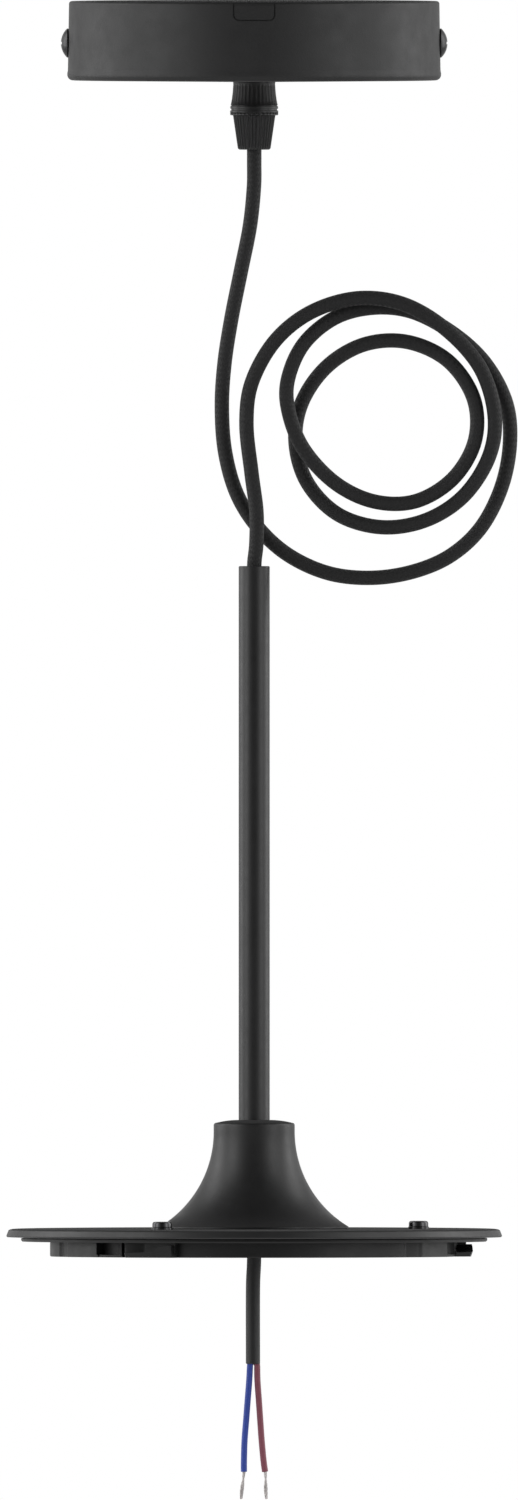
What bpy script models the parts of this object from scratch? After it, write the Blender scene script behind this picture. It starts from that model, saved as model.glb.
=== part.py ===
"""Pendant cord set: a ceiling canopy, a cord grip, a looped textile cord, a down tube
with a trumpet cover, a flange with a bayonet ring, and a stripped cable end.

Metres, +Z up, +X to the right and +Y away from the viewer. The origin is the middle of
the ceiling plane, on which the bracket's top and the canopy's rim lie.
"""

import math

import bmesh
import bpy
from mathutils import Vector

MM = 0.001

# Free space between pieces that touch
GAP = 0.0003

# Canopy cup
CANOPY_DIAMETER = 0.120
CANOPY_RIM_DIAMETER = 0.1192
CANOPY_HEIGHT = 0.026
CANOPY_WALL = 0.0015
CANOPY_FLOOR = 0.002
CANOPY_EDGE_RADIUS = 0.0018
CANOPY_RIM_RADIUS = 0.0005
CANOPY_INNER_EDGE = 0.0003
KNOCKOUT_WIDTH = 0.0136
KNOCKOUT_HEIGHT = 0.006
KNOCKOUT_CORNER = 0.0020
SCORE_WIDTH = 0.0004
SCORE_DEPTH = 0.0004

# Ceiling bracket, a strip with two bent ears
BRACKET_WIDTH = 0.020
BRACKET_THICKNESS = 0.002
BRACKET_BEND_RADIUS = 0.0025
BRACKET_EAR_MARGIN = 0.006
BRACKET_CLEARANCE = 0.0005
BRACKET_SLOT_LENGTH = 0.012
BRACKET_SLOT_WIDTH = 0.0046
BRACKET_SLOT_INSET = 0.0125

# Side screws that hold the cup to the bracket's ears
SIDE_SCREW_DEPTH = 0.0135
SIDE_SCREW_DIAMETER = 0.004
SIDE_SCREW_TAIL = 0.003
SIDE_HEAD_DIAMETER = 0.0094
SIDE_HEAD_HEIGHT = 0.0021
SIDE_HEAD_EDGE = 0.0003
CROSS_RECESS_WIDTH = 0.0008
CROSS_RECESS_LENGTH = 0.0038
CROSS_RECESS_DEPTH = 0.0012

# Terminal block under the bracket
TERMINAL_OFFSET = 0.024
TERMINAL_LENGTH = 0.020
TERMINAL_WIDTH = 0.0196
TERMINAL_HEIGHT = 0.012
TERMINAL_EDGE = 0.0008
TERMINAL_PITCH = 0.0108
SLEEVE_DEPTH = 0.0055
SLEEVE_DIAMETER = 0.0050
SLEEVE_BORE = 0.0032
SLEEVE_LENGTH = 0.016
TERMINAL_SCREW_DIAMETER = 0.0022
TERMINAL_SCREW_LENGTH = 0.0036
TERMINAL_SCREW_SPACING = 0.009
TERMINAL_SCREW_SLOT = 0.0005
BLOCK_SCREW_DIAMETER = 0.003
BLOCK_HEAD_DIAMETER = 0.0055
BLOCK_HEAD_HEIGHT = 0.0018

# Textile cord
CORD_DIAMETER = 0.0047
CORD_CLEARANCE = 0.0003
CORD_ABOVE_GRIP = 0.0022
CORE_DIAMETER = 0.0020
LEAD_SPREAD = 0.00125
LEAD_INSERTION = 0.006

# Bends of a lead, as shares of its way to the block, to its pole and up to the sleeve
LEAD_BENDS = ((0.0, 0.0, 0.25), (0.16, 0.2, 0.6), (0.45, 0.6, 0.92), (0.8, 1.0, 1.0))
LEAD_POINTS = 14

# Cord grip: ribbed body above, ribbed clamping nut below
GRIP_THREAD_DIAMETER = 0.010
GRIP_BODY_HEIGHT = 0.0080
GRIP_BODY_TOP_DIAMETER = 0.0137
GRIP_BODY_LOWER_DIAMETER = 0.0151
GRIP_BODY_LIP = 0.0006
GRIP_COLLAR_DIAMETER = 0.0154
GRIP_BODY_COLLAR_HEIGHT = 0.0007
GRIP_NUT_COLLAR_HEIGHT = 0.0014
GRIP_SPIGOT_DIAMETER = 0.0094
GRIP_SPIGOT_LENGTH = 0.0030
GRIP_NUT_HEIGHT = 0.0111
GRIP_NUT_TOP_DIAMETER = 0.0135
GRIP_NUT_LOWER_DIAMETER = 0.0104
GRIP_NUT_MOUTH_LENGTH = 0.0014
GRIP_NUT_EDGE = 0.0006
GRIP_RIBS = 36
GRIP_RIB_DEPTH = 0.00022
CLAMP_RING_DIAMETER = 0.0080
LOCK_WASHER_DIAMETER = 0.016
LOCK_WASHER_THICKNESS = 0.001
LOCK_NUT_ACROSS_FLATS = 0.014
LOCK_NUT_HEIGHT = 0.003
THREAD_PROJECTION = 0.0010

# Down tube
TUBE_TOP_DEPTH = 0.1818
TUBE_EXPOSED_LENGTH = 0.1782
TUBE_DIAMETER = 0.010
TUBE_BORE = 0.008
TUBE_TOP_CHAMFER = 0.0003
TUBE_BELOW_FLANGE = 0.0046
BUSH_LENGTH = 0.006
BUSH_RECESS = 0.0004
BUSH_FLANGE_THICKNESS = 0.0008
TUBE_NUT_HEIGHT = 0.0026

# Trumpet cover
NECK_DIAMETER = 0.0261
NECK_DOME = 0.0009
NECK_EDGE_RADIUS = 0.0008
NECK_LENGTH = 0.0037
FLARE_RADIUS = 0.0357
FLARE_DROP = 0.0306
TRUMPET_FOOT_HEIGHT = 0.0004
TRUMPET_WALL = 0.0015

# Flange disc
FLANGE_DIAMETER = 0.1595
FLANGE_TOP_DIAMETER = 0.1583
FLANGE_THICKNESS = 0.0027
FLANGE_EDGE_RADIUS = 0.0007
FLANGE_SCREW_CIRCLE = 0.106
FLANGE_SCREW_ANGLES = (86.0, -34.0, 206.0)
FLANGE_SCREW_DIAMETER = 0.003
FLANGE_SCREW_HEAD_DIAMETER = 0.0063
FLANGE_SCREW_HEAD_HEIGHT = 0.0019
FLANGE_SCREW_HEAD_EDGE = 0.0004
FLANGE_RECESS_LENGTH = 0.0030
FLANGE_SCREW_RIM_DIAMETER = 0.0068
FLANGE_SCREW_RIM_HEIGHT = 0.0004
FLANGE_SCREW_LENGTH = 0.0065

# Bayonet ring with its plate, under the flange
PLATE_DIAMETER = 0.150
PLATE_INNER_DIAMETER = 0.092
PLATE_THICKNESS = 0.0011
PLATE_SHOULDER = 0.0025
PLATE_SHOULDER_DEPTH = 0.0004
RING_DIAMETER = 0.1314
RING_WALL = 0.0040
RING_HEIGHT = 0.0048
BOSS_DIAMETER = 0.0075
BOSS_HEIGHT = 0.0034
LUG_DIAMETER = 0.1406
LUG_STOP_DIAMETER = 0.1376
LUG_START = -39.0
LUG_RAMP_START = -27.6
LUG_RAMP_END = -24.2
LUG_END = -21.2
LUG_LOW_HEIGHT = 0.0018
LUG_HIGH_HEIGHT = 0.0034
POCKET_START = -50.2
POCKET_DEPTH = 0.0028
POCKET_LIP = 0.0006
PAD_START = -68.3
PAD_RISE = 0.0004
GROOVE_START = -74.4
GROOVE_END = -69.8
GROOVE_DEPTH = 0.0008
SECTOR_OVERLAP = 0.6
BAYONET_COUNT = 3

# Stripped cable end
CABLE_DIAMETER = 0.0046
STRAND_DIAMETER = 0.0011

ROUND_SEGMENTS = 56
TRUMPET_SEGMENTS = 40
MEDIUM_SEGMENTS = 24
SMALL_SEGMENTS = 12
ARC_STEPS = 4
DOME_STEPS = 3
TRUMPET_STEPS = 8

# Route of the textile cord from the grip's mouth to the tube's mouth, in millimetres.
# The strands that pass behind another one lie 5 to 6 mm further back.
CORD_ROUTE = (
    (0.0, 0.0, -46.9), (0.0, 0.0, -52.0), (-0.1, 0.0, -60.0), (-1.4, 0.3, -72.5),
    (-4.3, 1.0, -87.0), (-7.4, 2.2, -102.5), (-9.6, 3.4, -117.0), (-10.4, 4.5, -131.0),
    (-9.3, 5.2, -145.5), (-5.4, 5.5, -159.0), (1.7, 5.6, -170.0), (11.5, 5.8, -178.6),
    (24.2, 6.0, -184.2), (38.0, 6.0, -185.6), (51.5, 6.0, -183.5), (63.4, 6.0, -178.3),
    (73.1, 6.0, -169.2), (79.7, 6.0, -156.0), (82.3, 6.0, -141.8), (80.9, 6.0, -128.9),
    (74.1, 6.0, -116.3), (63.6, 6.0, -106.7), (50.8, 5.9, -100.0), (38.2, 5.4, -98.7),
    (26.0, 3.6, -101.9), (16.0, 1.7, -110.2), (10.9, 0.4, -121.5), (11.0, 0.0, -131.8),
    (15.8, 0.0, -144.0), (26.0, 0.0, -155.0), (38.6, 0.0, -161.0), (52.0, 0.2, -160.9),
    (64.0, 0.7, -153.6), (71.0, 1.4, -141.5), (70.6, 2.2, -127.9), (62.4, 3.1, -115.8),
    (49.3, 4.0, -109.7), (35.4, 4.8, -110.5), (23.3, 5.4, -117.7), (15.3, 5.7, -129.3),
    (13.3, 5.7, -142.0), (17.1, 5.5, -155.0), (27.0, 4.6, -165.2), (41.0, 3.0, -169.3),
    (55.3, 1.4, -167.0), (67.5, 0.4, -159.1), (75.6, 0.0, -146.4), (77.3, 0.0, -132.9),
    (72.7, 0.0, -118.0), (61.9, 0.0, -105.8), (48.3, 0.0, -97.6), (33.5, 0.0, -95.6),
    (18.6, 0.0, -99.9), (6.9, 0.0, -109.1), (-0.7, 0.0, -122.5), (-2.5, 0.0, -135.8),
    (-0.9, 0.0, -151.5), (0.7, 0.0, -164.0), (0.7, 0.0, -174.2), (0.1, 0.0, -180.0),
    (0.0, 0.0, -182.9),
)
CORD_POINTS = 76

# Routes of the hanging cable end, in millimetres from the lower bush's mouth
CABLE_ROUTE = ((0.0, 0.0, 0.3), (-0.1, 0.0, -3.6), (-0.4, 0.0, -11.6), (-0.4, 0.0, -35.1))
BLUE_CORE_ROUTE = (
    (-1.35, 0.0, -35.4), (-1.6, 0.0, -40.4), (-2.1, 0.0, -46.8), (-2.6, 0.0, -53.3),
    (-3.1, 0.0, -59.7), (-3.3, 0.0, -66.1), (-3.3, 0.0, -69.8),
)
BROWN_CORE_ROUTE = (
    (0.95, 0.0, -35.4), (1.05, 0.0, -40.4), (1.5, 0.0, -46.8), (1.95, 0.0, -53.3),
    (2.4, 0.0, -59.7), (3.0, 0.0, -66.1), (3.5, 0.0, -69.8),
)
BLUE_STRAND_ROUTE = ((-3.3, 0.0, -70.1), (-3.6, 0.0, -72.8), (-4.0, 0.0, -75.8), (-4.2, 0.0, -78.3))
BROWN_STRAND_ROUTE = ((3.6, 0.0, -70.1), (3.7, 0.0, -72.8), (3.7, 0.0, -75.8), (3.9, 0.0, -78.3))

# Levels and radii that several pieces share
CANOPY_BOTTOM = -CANOPY_HEIGHT
CANOPY_RADIUS = CANOPY_DIAMETER / 2
CANOPY_RIM = CANOPY_RIM_DIAMETER / 2
CANOPY_INNER_RIM = CANOPY_RIM - CANOPY_WALL
CANOPY_WALL_AT_SCREW = CANOPY_RIM + (CANOPY_RADIUS - CANOPY_RIM) * SIDE_SCREW_DEPTH / CANOPY_HEIGHT
CORD_PASSAGE = CORD_DIAMETER / 2 + CORD_CLEARANCE

EAR_X = math.sqrt(CANOPY_INNER_RIM ** 2 - (BRACKET_WIDTH / 2) ** 2) - BRACKET_CLEARANCE
BLOCK_TOP = -BRACKET_THICKNESS - GAP
BLOCK_BOTTOM = BLOCK_TOP - TERMINAL_HEIGHT
SLEEVE_Z = BLOCK_TOP - SLEEVE_DEPTH

GRIP_TOP = CANOPY_BOTTOM - GAP
GRIP_BODY_END = GRIP_TOP - GRIP_BODY_HEIGHT
GRIP_COLLAR_END = GRIP_BODY_END - GRIP_BODY_COLLAR_HEIGHT
NUT_TOP = GRIP_COLLAR_END - GAP
NUT_COLLAR_END = NUT_TOP - GRIP_NUT_COLLAR_HEIGHT
NUT_END = NUT_COLLAR_END - GRIP_NUT_HEIGHT
SPIGOT_END = GRIP_COLLAR_END - GRIP_SPIGOT_LENGTH
CLAMP_SEAT = NUT_END + GRIP_NUT_MOUTH_LENGTH
LOCK_WASHER_Z = CANOPY_BOTTOM + CANOPY_FLOOR + GAP
LOCK_NUT_Z = LOCK_WASHER_Z + LOCK_WASHER_THICKNESS + GAP
THREAD_END = LOCK_NUT_Z + LOCK_NUT_HEIGHT + THREAD_PROJECTION
CORD_TOP = THREAD_END + CORD_ABOVE_GRIP

TUBE_TOP = -TUBE_TOP_DEPTH
NECK_TOP = TUBE_TOP - TUBE_EXPOSED_LENGTH
FLARE_START = NECK_TOP - NECK_LENGTH
FLARE_END = FLARE_START - FLARE_DROP
TRUMPET_FOOT = FLARE_END - TRUMPET_FOOT_HEIGHT
FLARE_FOOT_RADIUS = NECK_DIAMETER / 2 + FLARE_RADIUS - math.sqrt(FLARE_RADIUS ** 2 - FLARE_DROP ** 2)
FLANGE_TOP = TRUMPET_FOOT - GAP
FLANGE_BOTTOM = FLANGE_TOP - FLANGE_THICKNESS
TUBE_BOTTOM = FLANGE_BOTTOM - TUBE_BELOW_FLANGE
TUBE_PASSAGE = TUBE_DIAMETER / 2 + GAP
PLATE_TOP = FLANGE_BOTTOM - GAP
PLATE_BOTTOM = PLATE_TOP - PLATE_THICKNESS
RING_BOTTOM = PLATE_BOTTOM - RING_HEIGHT
RING_RADIUS = RING_DIAMETER / 2
BUSH_FLANGE_TOP = TUBE_BOTTOM - GAP
BUSH_BOTTOM = BUSH_FLANGE_TOP - BUSH_FLANGE_THICKNESS

PARTS = "pendant_cord_set"
CUTTERS = "cutters"


def start_scene():
    """Empty the scene and make the two collections."""
    for thing in list(bpy.data.objects):
        bpy.data.objects.remove(thing, do_unlink=True)
    for name in (PARTS, CUTTERS):
        bpy.context.scene.collection.children.link(bpy.data.collections.new(name))


def finish(name, colour, roughness, metallic=0.0):
    """One Principled material."""
    material = bpy.data.materials.new(name)
    material.use_nodes = True
    shader = material.node_tree.nodes["Principled BSDF"]
    shader.inputs["Base Color"].default_value = (*colour, 1.0)
    shader.inputs["Roughness"].default_value = roughness
    shader.inputs["Metallic"].default_value = metallic
    return material


def add_object(name, data, material, location=(0.0, 0.0, 0.0), rotation=(0.0, 0.0, 0.0)):
    """Put data in the part's collection as a named object."""
    thing = bpy.data.objects.new(name, data)
    thing.location = location
    thing.rotation_euler = rotation
    bpy.data.collections[PARTS].objects.link(thing)
    if material is not None:
        data.materials.append(material)
    return thing


def add_cutter(name, mesh, location=(0.0, 0.0, 0.0), rotation=(0.0, 0.0, 0.0)):
    """Put a hidden mesh in the cutters' collection."""
    thing = bpy.data.objects.new(name, mesh)
    thing.location = location
    thing.rotation_euler = rotation
    thing.hide_render = True
    thing.display_type = "WIRE"
    bpy.data.collections[CUTTERS].objects.link(thing)
    return thing


def combine(target, other, operation="DIFFERENCE"):
    """Add a Boolean with another object."""
    modifier = target.modifiers.new(other.name, "BOOLEAN")
    modifier.operation = operation
    modifier.solver = "EXACT"
    modifier.object = other
    return modifier


def shade(mesh):
    """Smooth shading that keeps the real edges."""
    mesh.shade_smooth()
    mesh.set_sharp_from_angle(angle=math.radians(35.0))


def arc(centre, radius, start, end, steps=ARC_STEPS):
    """Points (r, z) on an arc, angles in degrees from +r towards +z."""
    points = []
    for index in range(steps + 1):
        angle = math.radians(start + (end - start) * index / steps)
        points.append((centre[0] + radius * math.cos(angle), centre[1] + radius * math.sin(angle)))
    return points


def profile_mesh(name, profile, closed=True):
    """A chain of edges in the XZ plane from (r, z) points."""
    mesh = bpy.data.meshes.new(name)
    shape = bmesh.new()
    vertices = [shape.verts.new((r, 0.0, z)) for r, z in profile]
    for first, second in zip(vertices, vertices[1:]):
        shape.edges.new((first, second))
    if closed:
        shape.edges.new((vertices[-1], vertices[0]))
    shape.to_mesh(mesh)
    shape.free()
    return mesh


def spin_profile(thing, segments):
    """Turn a profile about the object's Z axis."""
    screw = thing.modifiers.new("turn", "SCREW")
    screw.axis = "Z"
    screw.angle = math.tau
    screw.steps = segments
    screw.render_steps = segments
    screw.use_merge_vertices = True
    screw.merge_threshold = 0.00001
    screw.use_smooth_shade = True
    return screw


def turned(name, profile, material, segments=MEDIUM_SEGMENTS, closed=True, **place):
    """A turned piece from (r, z) points that run down its outer side, top to bottom."""
    thing = add_object(name, profile_mesh(name, profile, closed), material, **place)
    spin_profile(thing, segments)
    return thing


def turned_cutter(name, profile, segments=MEDIUM_SEGMENTS, closed=False, **place):
    """A turned cutter."""
    thing = add_cutter(name, profile_mesh(name, profile, closed), **place)
    spin_profile(thing, segments)
    return thing


def sleeve_profile(outer, inner, top, bottom):
    """Profile of a plain ring or tube."""
    return [(outer, top), (outer, bottom), (inner, bottom), (inner, top)]


def rod_mesh(name, radius, length, segments=SMALL_SEGMENTS):
    """A cylinder along Z, centred."""
    mesh = bpy.data.meshes.new(name)
    shape = bmesh.new()
    bmesh.ops.create_cone(
        shape, cap_ends=True, segments=segments, radius1=radius, radius2=radius, depth=length)
    shape.to_mesh(mesh)
    shape.free()
    return mesh


def rod_cutter(name, radius, length, location, rotation=(0.0, 0.0, 0.0), segments=SMALL_SEGMENTS):
    """A cylindrical cutter."""
    return add_cutter(name, rod_mesh(name, radius, length, segments), location, rotation)


def box_mesh(name, size):
    """A box centred on its origin."""
    mesh = bpy.data.meshes.new(name)
    shape = bmesh.new()
    bmesh.ops.create_cube(shape, size=1.0)
    bmesh.ops.scale(shape, vec=Vector(size), verts=shape.verts)
    shape.to_mesh(mesh)
    shape.free()
    return mesh


def slot_mesh(name, length, width, depth, segments=SMALL_SEGMENTS):
    """A slot with round ends, long in X, cut through in Z."""
    mesh = bpy.data.meshes.new(name)
    shape = bmesh.new()
    bmesh.ops.create_cone(
        shape, cap_ends=True, segments=segments, radius1=width / 2, radius2=width / 2, depth=depth)
    shift = (length - width) / 2
    for vertex in shape.verts:
        vertex.co.x += math.copysign(shift, vertex.co.x)
    shape.to_mesh(mesh)
    shape.free()
    return mesh


def rounded_box(name, size, edge, material, location):
    """A box with bevelled edges."""
    thing = add_object(name, box_mesh(name, size), material, location)
    bevel = thing.modifiers.new("edges", "BEVEL")
    bevel.width = edge
    bevel.segments = 2
    return thing


def ring_sector(name, inner, outer, start, end, bottom, top, steps=8):
    """A sector of a square ring. Angles are in degrees from the front towards +X."""
    mesh = bpy.data.meshes.new(name)
    shape = bmesh.new()
    corners = [(inner, bottom), (outer, bottom), (outer, top), (inner, top)]
    direction = Vector((math.sin(math.radians(start)), -math.cos(math.radians(start)), 0.0))
    face = shape.faces.new([shape.verts.new(direction * r + Vector((0.0, 0.0, z))) for r, z in corners])
    bmesh.ops.spin(
        shape, geom=[face, *face.edges, *face.verts], cent=(0.0, 0.0, 0.0), axis=(0.0, 0.0, 1.0),
        angle=math.radians(end - start), steps=steps, use_duplicate=False)
    bmesh.ops.recalc_face_normals(shape, faces=shape.faces)
    shape.to_mesh(mesh)
    shape.free()
    return mesh


def angle_from_front(point):
    """Angle of a point about Z in degrees, from the front towards +X."""
    return math.degrees(math.atan2(point.x, -point.y))


def smooth_route(route, samples_per_span=24):
    """A dense smooth line that passes through all of the route's points."""
    points = [Vector(point) * MM for point in route]
    points = [points[0] * 2 - points[1], *points, points[-1] * 2 - points[-2]]
    line = []
    for before, start, end, after in zip(points, points[1:], points[2:], points[3:]):
        for index in range(samples_per_span):
            t = index / samples_per_span
            line.append(0.5 * (
                2 * start + (end - before) * t
                + (2 * before - 5 * start + 4 * end - after) * t * t
                + (3 * start - before - 3 * end + after) * t * t * t))
    line.append(points[-2])
    return line


def even_points(line, count):
    """Points at equal distances along a dense line, ends included."""
    travelled = [0.0]
    for first, second in zip(line, line[1:]):
        travelled.append(travelled[-1] + (second - first).length)
    result = []
    place = 0
    for index in range(count):
        goal = travelled[-1] * index / (count - 1)
        while place < len(line) - 2 and travelled[place + 1] < goal:
            place += 1
        part = (goal - travelled[place]) / (travelled[place + 1] - travelled[place])
        result.append(line[place].lerp(line[place + 1], min(part, 1.0)))
    return result


def tube(name, points, diameter, material, resolution=2):
    """A round wire or cord through the points, with closed ends."""
    curve = bpy.data.curves.new(name, "CURVE")
    curve.dimensions = "3D"
    curve.bevel_depth = diameter / 2
    curve.bevel_resolution = resolution
    curve.use_fill_caps = True
    spline = curve.splines.new("POLY")
    spline.points.add(len(points) - 1)
    for target, point in zip(spline.points, points):
        target.co = (*point, 1.0)
    return add_object(name, curve, material)


def ribbed_mesh(name, top_diameter, lower_diameter, top, bottom):
    """A tapered drum with upright ribs."""
    mesh = bpy.data.meshes.new(name)
    shape = bmesh.new()
    bmesh.ops.create_cone(
        shape, cap_ends=True, segments=GRIP_RIBS * 2, radius1=lower_diameter / 2,
        radius2=top_diameter / 2, depth=top - bottom)
    step = math.tau / (GRIP_RIBS * 2)
    for vertex in shape.verts:
        index = round(math.atan2(vertex.co.y, vertex.co.x) / step)
        if index % 2:
            radius = vertex.co.xy.length
            vertex.co.xy *= (radius - GRIP_RIB_DEPTH) / radius
    bmesh.ops.translate(shape, vec=(0.0, 0.0, (top + bottom) / 2), verts=shape.verts)
    shape.to_mesh(mesh)
    shape.free()
    return mesh


def hex_nut(name, across_flats, bore, bottom, height, material):
    """A plain hexagon nut that stands on the level bottom."""
    mesh = rod_mesh(name, across_flats / math.sqrt(3.0), height, segments=6)
    thing = add_object(name, mesh, material, (0.0, 0.0, bottom + height / 2))
    cutter = rod_cutter(
        name + "_bore", bore / 2, height * 3, (0.0, 0.0, bottom + height / 2), segments=MEDIUM_SEGMENTS)
    combine(thing, cutter)
    return thing


def canopy_cup(material):
    """Thin cup, open at the ceiling, with the grip's hole, two screw holes and a knock-out."""
    edge = CANOPY_EDGE_RADIUS
    floor = CANOPY_BOTTOM + CANOPY_FLOOR
    inner_edge = max(edge - CANOPY_WALL, CANOPY_INNER_EDGE)
    inner_wall = CANOPY_RADIUS - CANOPY_WALL
    hole = GRIP_THREAD_DIAMETER / 2 + GAP
    profile = [(CANOPY_RIM - CANOPY_RIM_RADIUS, 0.0)]
    profile += arc((CANOPY_RIM - CANOPY_RIM_RADIUS, -CANOPY_RIM_RADIUS), CANOPY_RIM_RADIUS, 60.0, 0.0, 2)
    profile += arc((CANOPY_RADIUS - edge, CANOPY_BOTTOM + edge), edge, 0.0, -90.0)
    profile += [(hole, CANOPY_BOTTOM), (hole, floor)]
    profile += arc((inner_wall - inner_edge, floor + inner_edge), inner_edge, -90.0, 0.0, 2)
    profile += [(CANOPY_INNER_RIM, 0.0)]
    cup = turned("canopy_cup", profile, material, ROUND_SEGMENTS)
    for side in (-1, 1):
        combine(cup, rod_cutter(
            "canopy_screw_hole_%s" % ("left" if side < 0 else "right"),
            SIDE_SCREW_DIAMETER / 2 + GAP, CANOPY_WALL * 6,
            (side * CANOPY_WALL_AT_SCREW, 0.0, -SIDE_SCREW_DEPTH), (0.0, math.pi / 2, 0.0)))
    combine(cup, knockout_score())
    return cup


def knockout_score():
    """Cutter for the thin U-shaped score of the cable knock-out in the front wall."""
    reach = CANOPY_WALL * 4
    height = KNOCKOUT_HEIGHT * 2
    outer = add_cutter(
        "knockout_outside", box_mesh("knockout_outside", (KNOCKOUT_WIDTH, reach, height)),
        (0.0, -CANOPY_RIM, 0.0))
    inner_width = KNOCKOUT_WIDTH - 2 * SCORE_WIDTH
    inner = add_cutter(
        "knockout_inside",
        box_mesh("knockout_inside", (inner_width, reach * 2, height - 2 * SCORE_WIDTH)),
        (0.0, -CANOPY_RIM, 0.0))
    for block in (outer, inner):
        bevel = block.modifiers.new("corners", "BEVEL")
        bevel.width = KNOCKOUT_CORNER
        bevel.segments = 4
        bevel.limit_method = "WEIGHT"
        weights = block.data.attributes.new("bevel_weight_edge", "FLOAT", "EDGE")
        for edge in block.data.edges:
            ends = [block.data.vertices[index].co for index in edge.vertices]
            along_depth = abs(ends[0].x - ends[1].x) < GAP and abs(ends[0].z - ends[1].z) < GAP
            weights.data[edge.index].value = 1.0 if along_depth else 0.0
    core = turned_cutter(
        "knockout_depth",
        [(0.0, height), (CANOPY_RIM - SCORE_DEPTH, height),
         (CANOPY_RIM - SCORE_DEPTH, -height), (0.0, -height)], ROUND_SEGMENTS)
    combine(outer, inner)
    combine(outer, core)
    return outer


def ceiling_bracket(material):
    """Steel strip with bent ears, a slot near each end and a hole for the block's screw."""
    bend = BRACKET_BEND_RADIUS
    ear_end = -(SIDE_SCREW_DEPTH + BRACKET_EAR_MARGIN)
    right = [(EAR_X, ear_end)] + arc((EAR_X - bend, -bend), bend, 0.0, 90.0, 4)
    path = [(-x, z) for x, z in right] + right[::-1]
    mesh = bpy.data.meshes.new("ceiling_bracket")
    shape = bmesh.new()
    front = [shape.verts.new((x, -BRACKET_WIDTH / 2, z)) for x, z in path]
    back = [shape.verts.new((x, BRACKET_WIDTH / 2, z)) for x, z in path]
    for index in range(len(path) - 1):
        shape.faces.new((front[index], front[index + 1], back[index + 1], back[index]))
    shape.to_mesh(mesh)
    shape.free()
    bracket = add_object("ceiling_bracket", mesh, material)
    plate = bracket.modifiers.new("sheet", "SOLIDIFY")
    plate.thickness = BRACKET_THICKNESS
    plate.offset = -1.0
    for side, word in ((-1, "left"), (1, "right")):
        slot = add_cutter(
            "bracket_slot_" + word,
            slot_mesh("bracket_slot", BRACKET_SLOT_LENGTH, BRACKET_SLOT_WIDTH, BRACKET_THICKNESS * 4),
            (side * (EAR_X - BRACKET_SLOT_INSET), 0.0, 0.0))
        combine(bracket, slot)
        combine(bracket, rod_cutter(
            "ear_hole_" + word, SIDE_SCREW_DIAMETER / 2 + GAP, BRACKET_THICKNESS * 4,
            (side * (EAR_X - BRACKET_THICKNESS / 2), 0.0, -SIDE_SCREW_DEPTH), (0.0, math.pi / 2, 0.0)))
    combine(bracket, rod_cutter(
        "bracket_block_hole", BLOCK_SCREW_DIAMETER / 2 + GAP, BRACKET_THICKNESS * 4,
        (TERMINAL_OFFSET, 0.0, -BRACKET_THICKNESS / 2)))
    return bracket


def side_screw(word, side, material):
    """Domed cross-head screw whose head stands on the cup's wall."""
    seat = CANOPY_WALL_AT_SCREW + GAP
    length = seat - (EAR_X - BRACKET_THICKNESS - SIDE_SCREW_TAIL)
    head = SIDE_HEAD_DIAMETER / 2
    shank = SIDE_SCREW_DIAMETER / 2
    dome = SIDE_HEAD_HEIGHT - SIDE_HEAD_EDGE
    dome_radius = (head ** 2 + dome ** 2) / (2 * dome)
    half_angle = math.degrees(math.asin(head / dome_radius))
    profile = [(0.0, SIDE_HEAD_HEIGHT)]
    profile += arc((0.0, SIDE_HEAD_HEIGHT - dome_radius), dome_radius, 90.0, 90.0 - half_angle)[1:]
    point = shank / 2
    profile += [(head, 0.0), (shank, 0.0), (shank, point - length), (point, -length), (0.0, -length)]
    turn = (0.0, side * math.pi / 2, 0.0)
    place = (side * seat, 0.0, -SIDE_SCREW_DEPTH)
    screw = turned(
        "side_screw_" + word, profile, material, MEDIUM_SEGMENTS, closed=False, location=place, rotation=turn)
    for index, size in enumerate((
            (CROSS_RECESS_LENGTH, CROSS_RECESS_WIDTH, CROSS_RECESS_DEPTH * 2),
            (CROSS_RECESS_WIDTH, CROSS_RECESS_LENGTH, CROSS_RECESS_DEPTH * 2))):
        name = "cross_recess_%s_%d" % (word, index)
        top = (side * (seat + SIDE_HEAD_HEIGHT), 0.0, -SIDE_SCREW_DEPTH)
        combine(screw, add_cutter(name, box_mesh(name, size), top, turn))
    return screw


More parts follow.
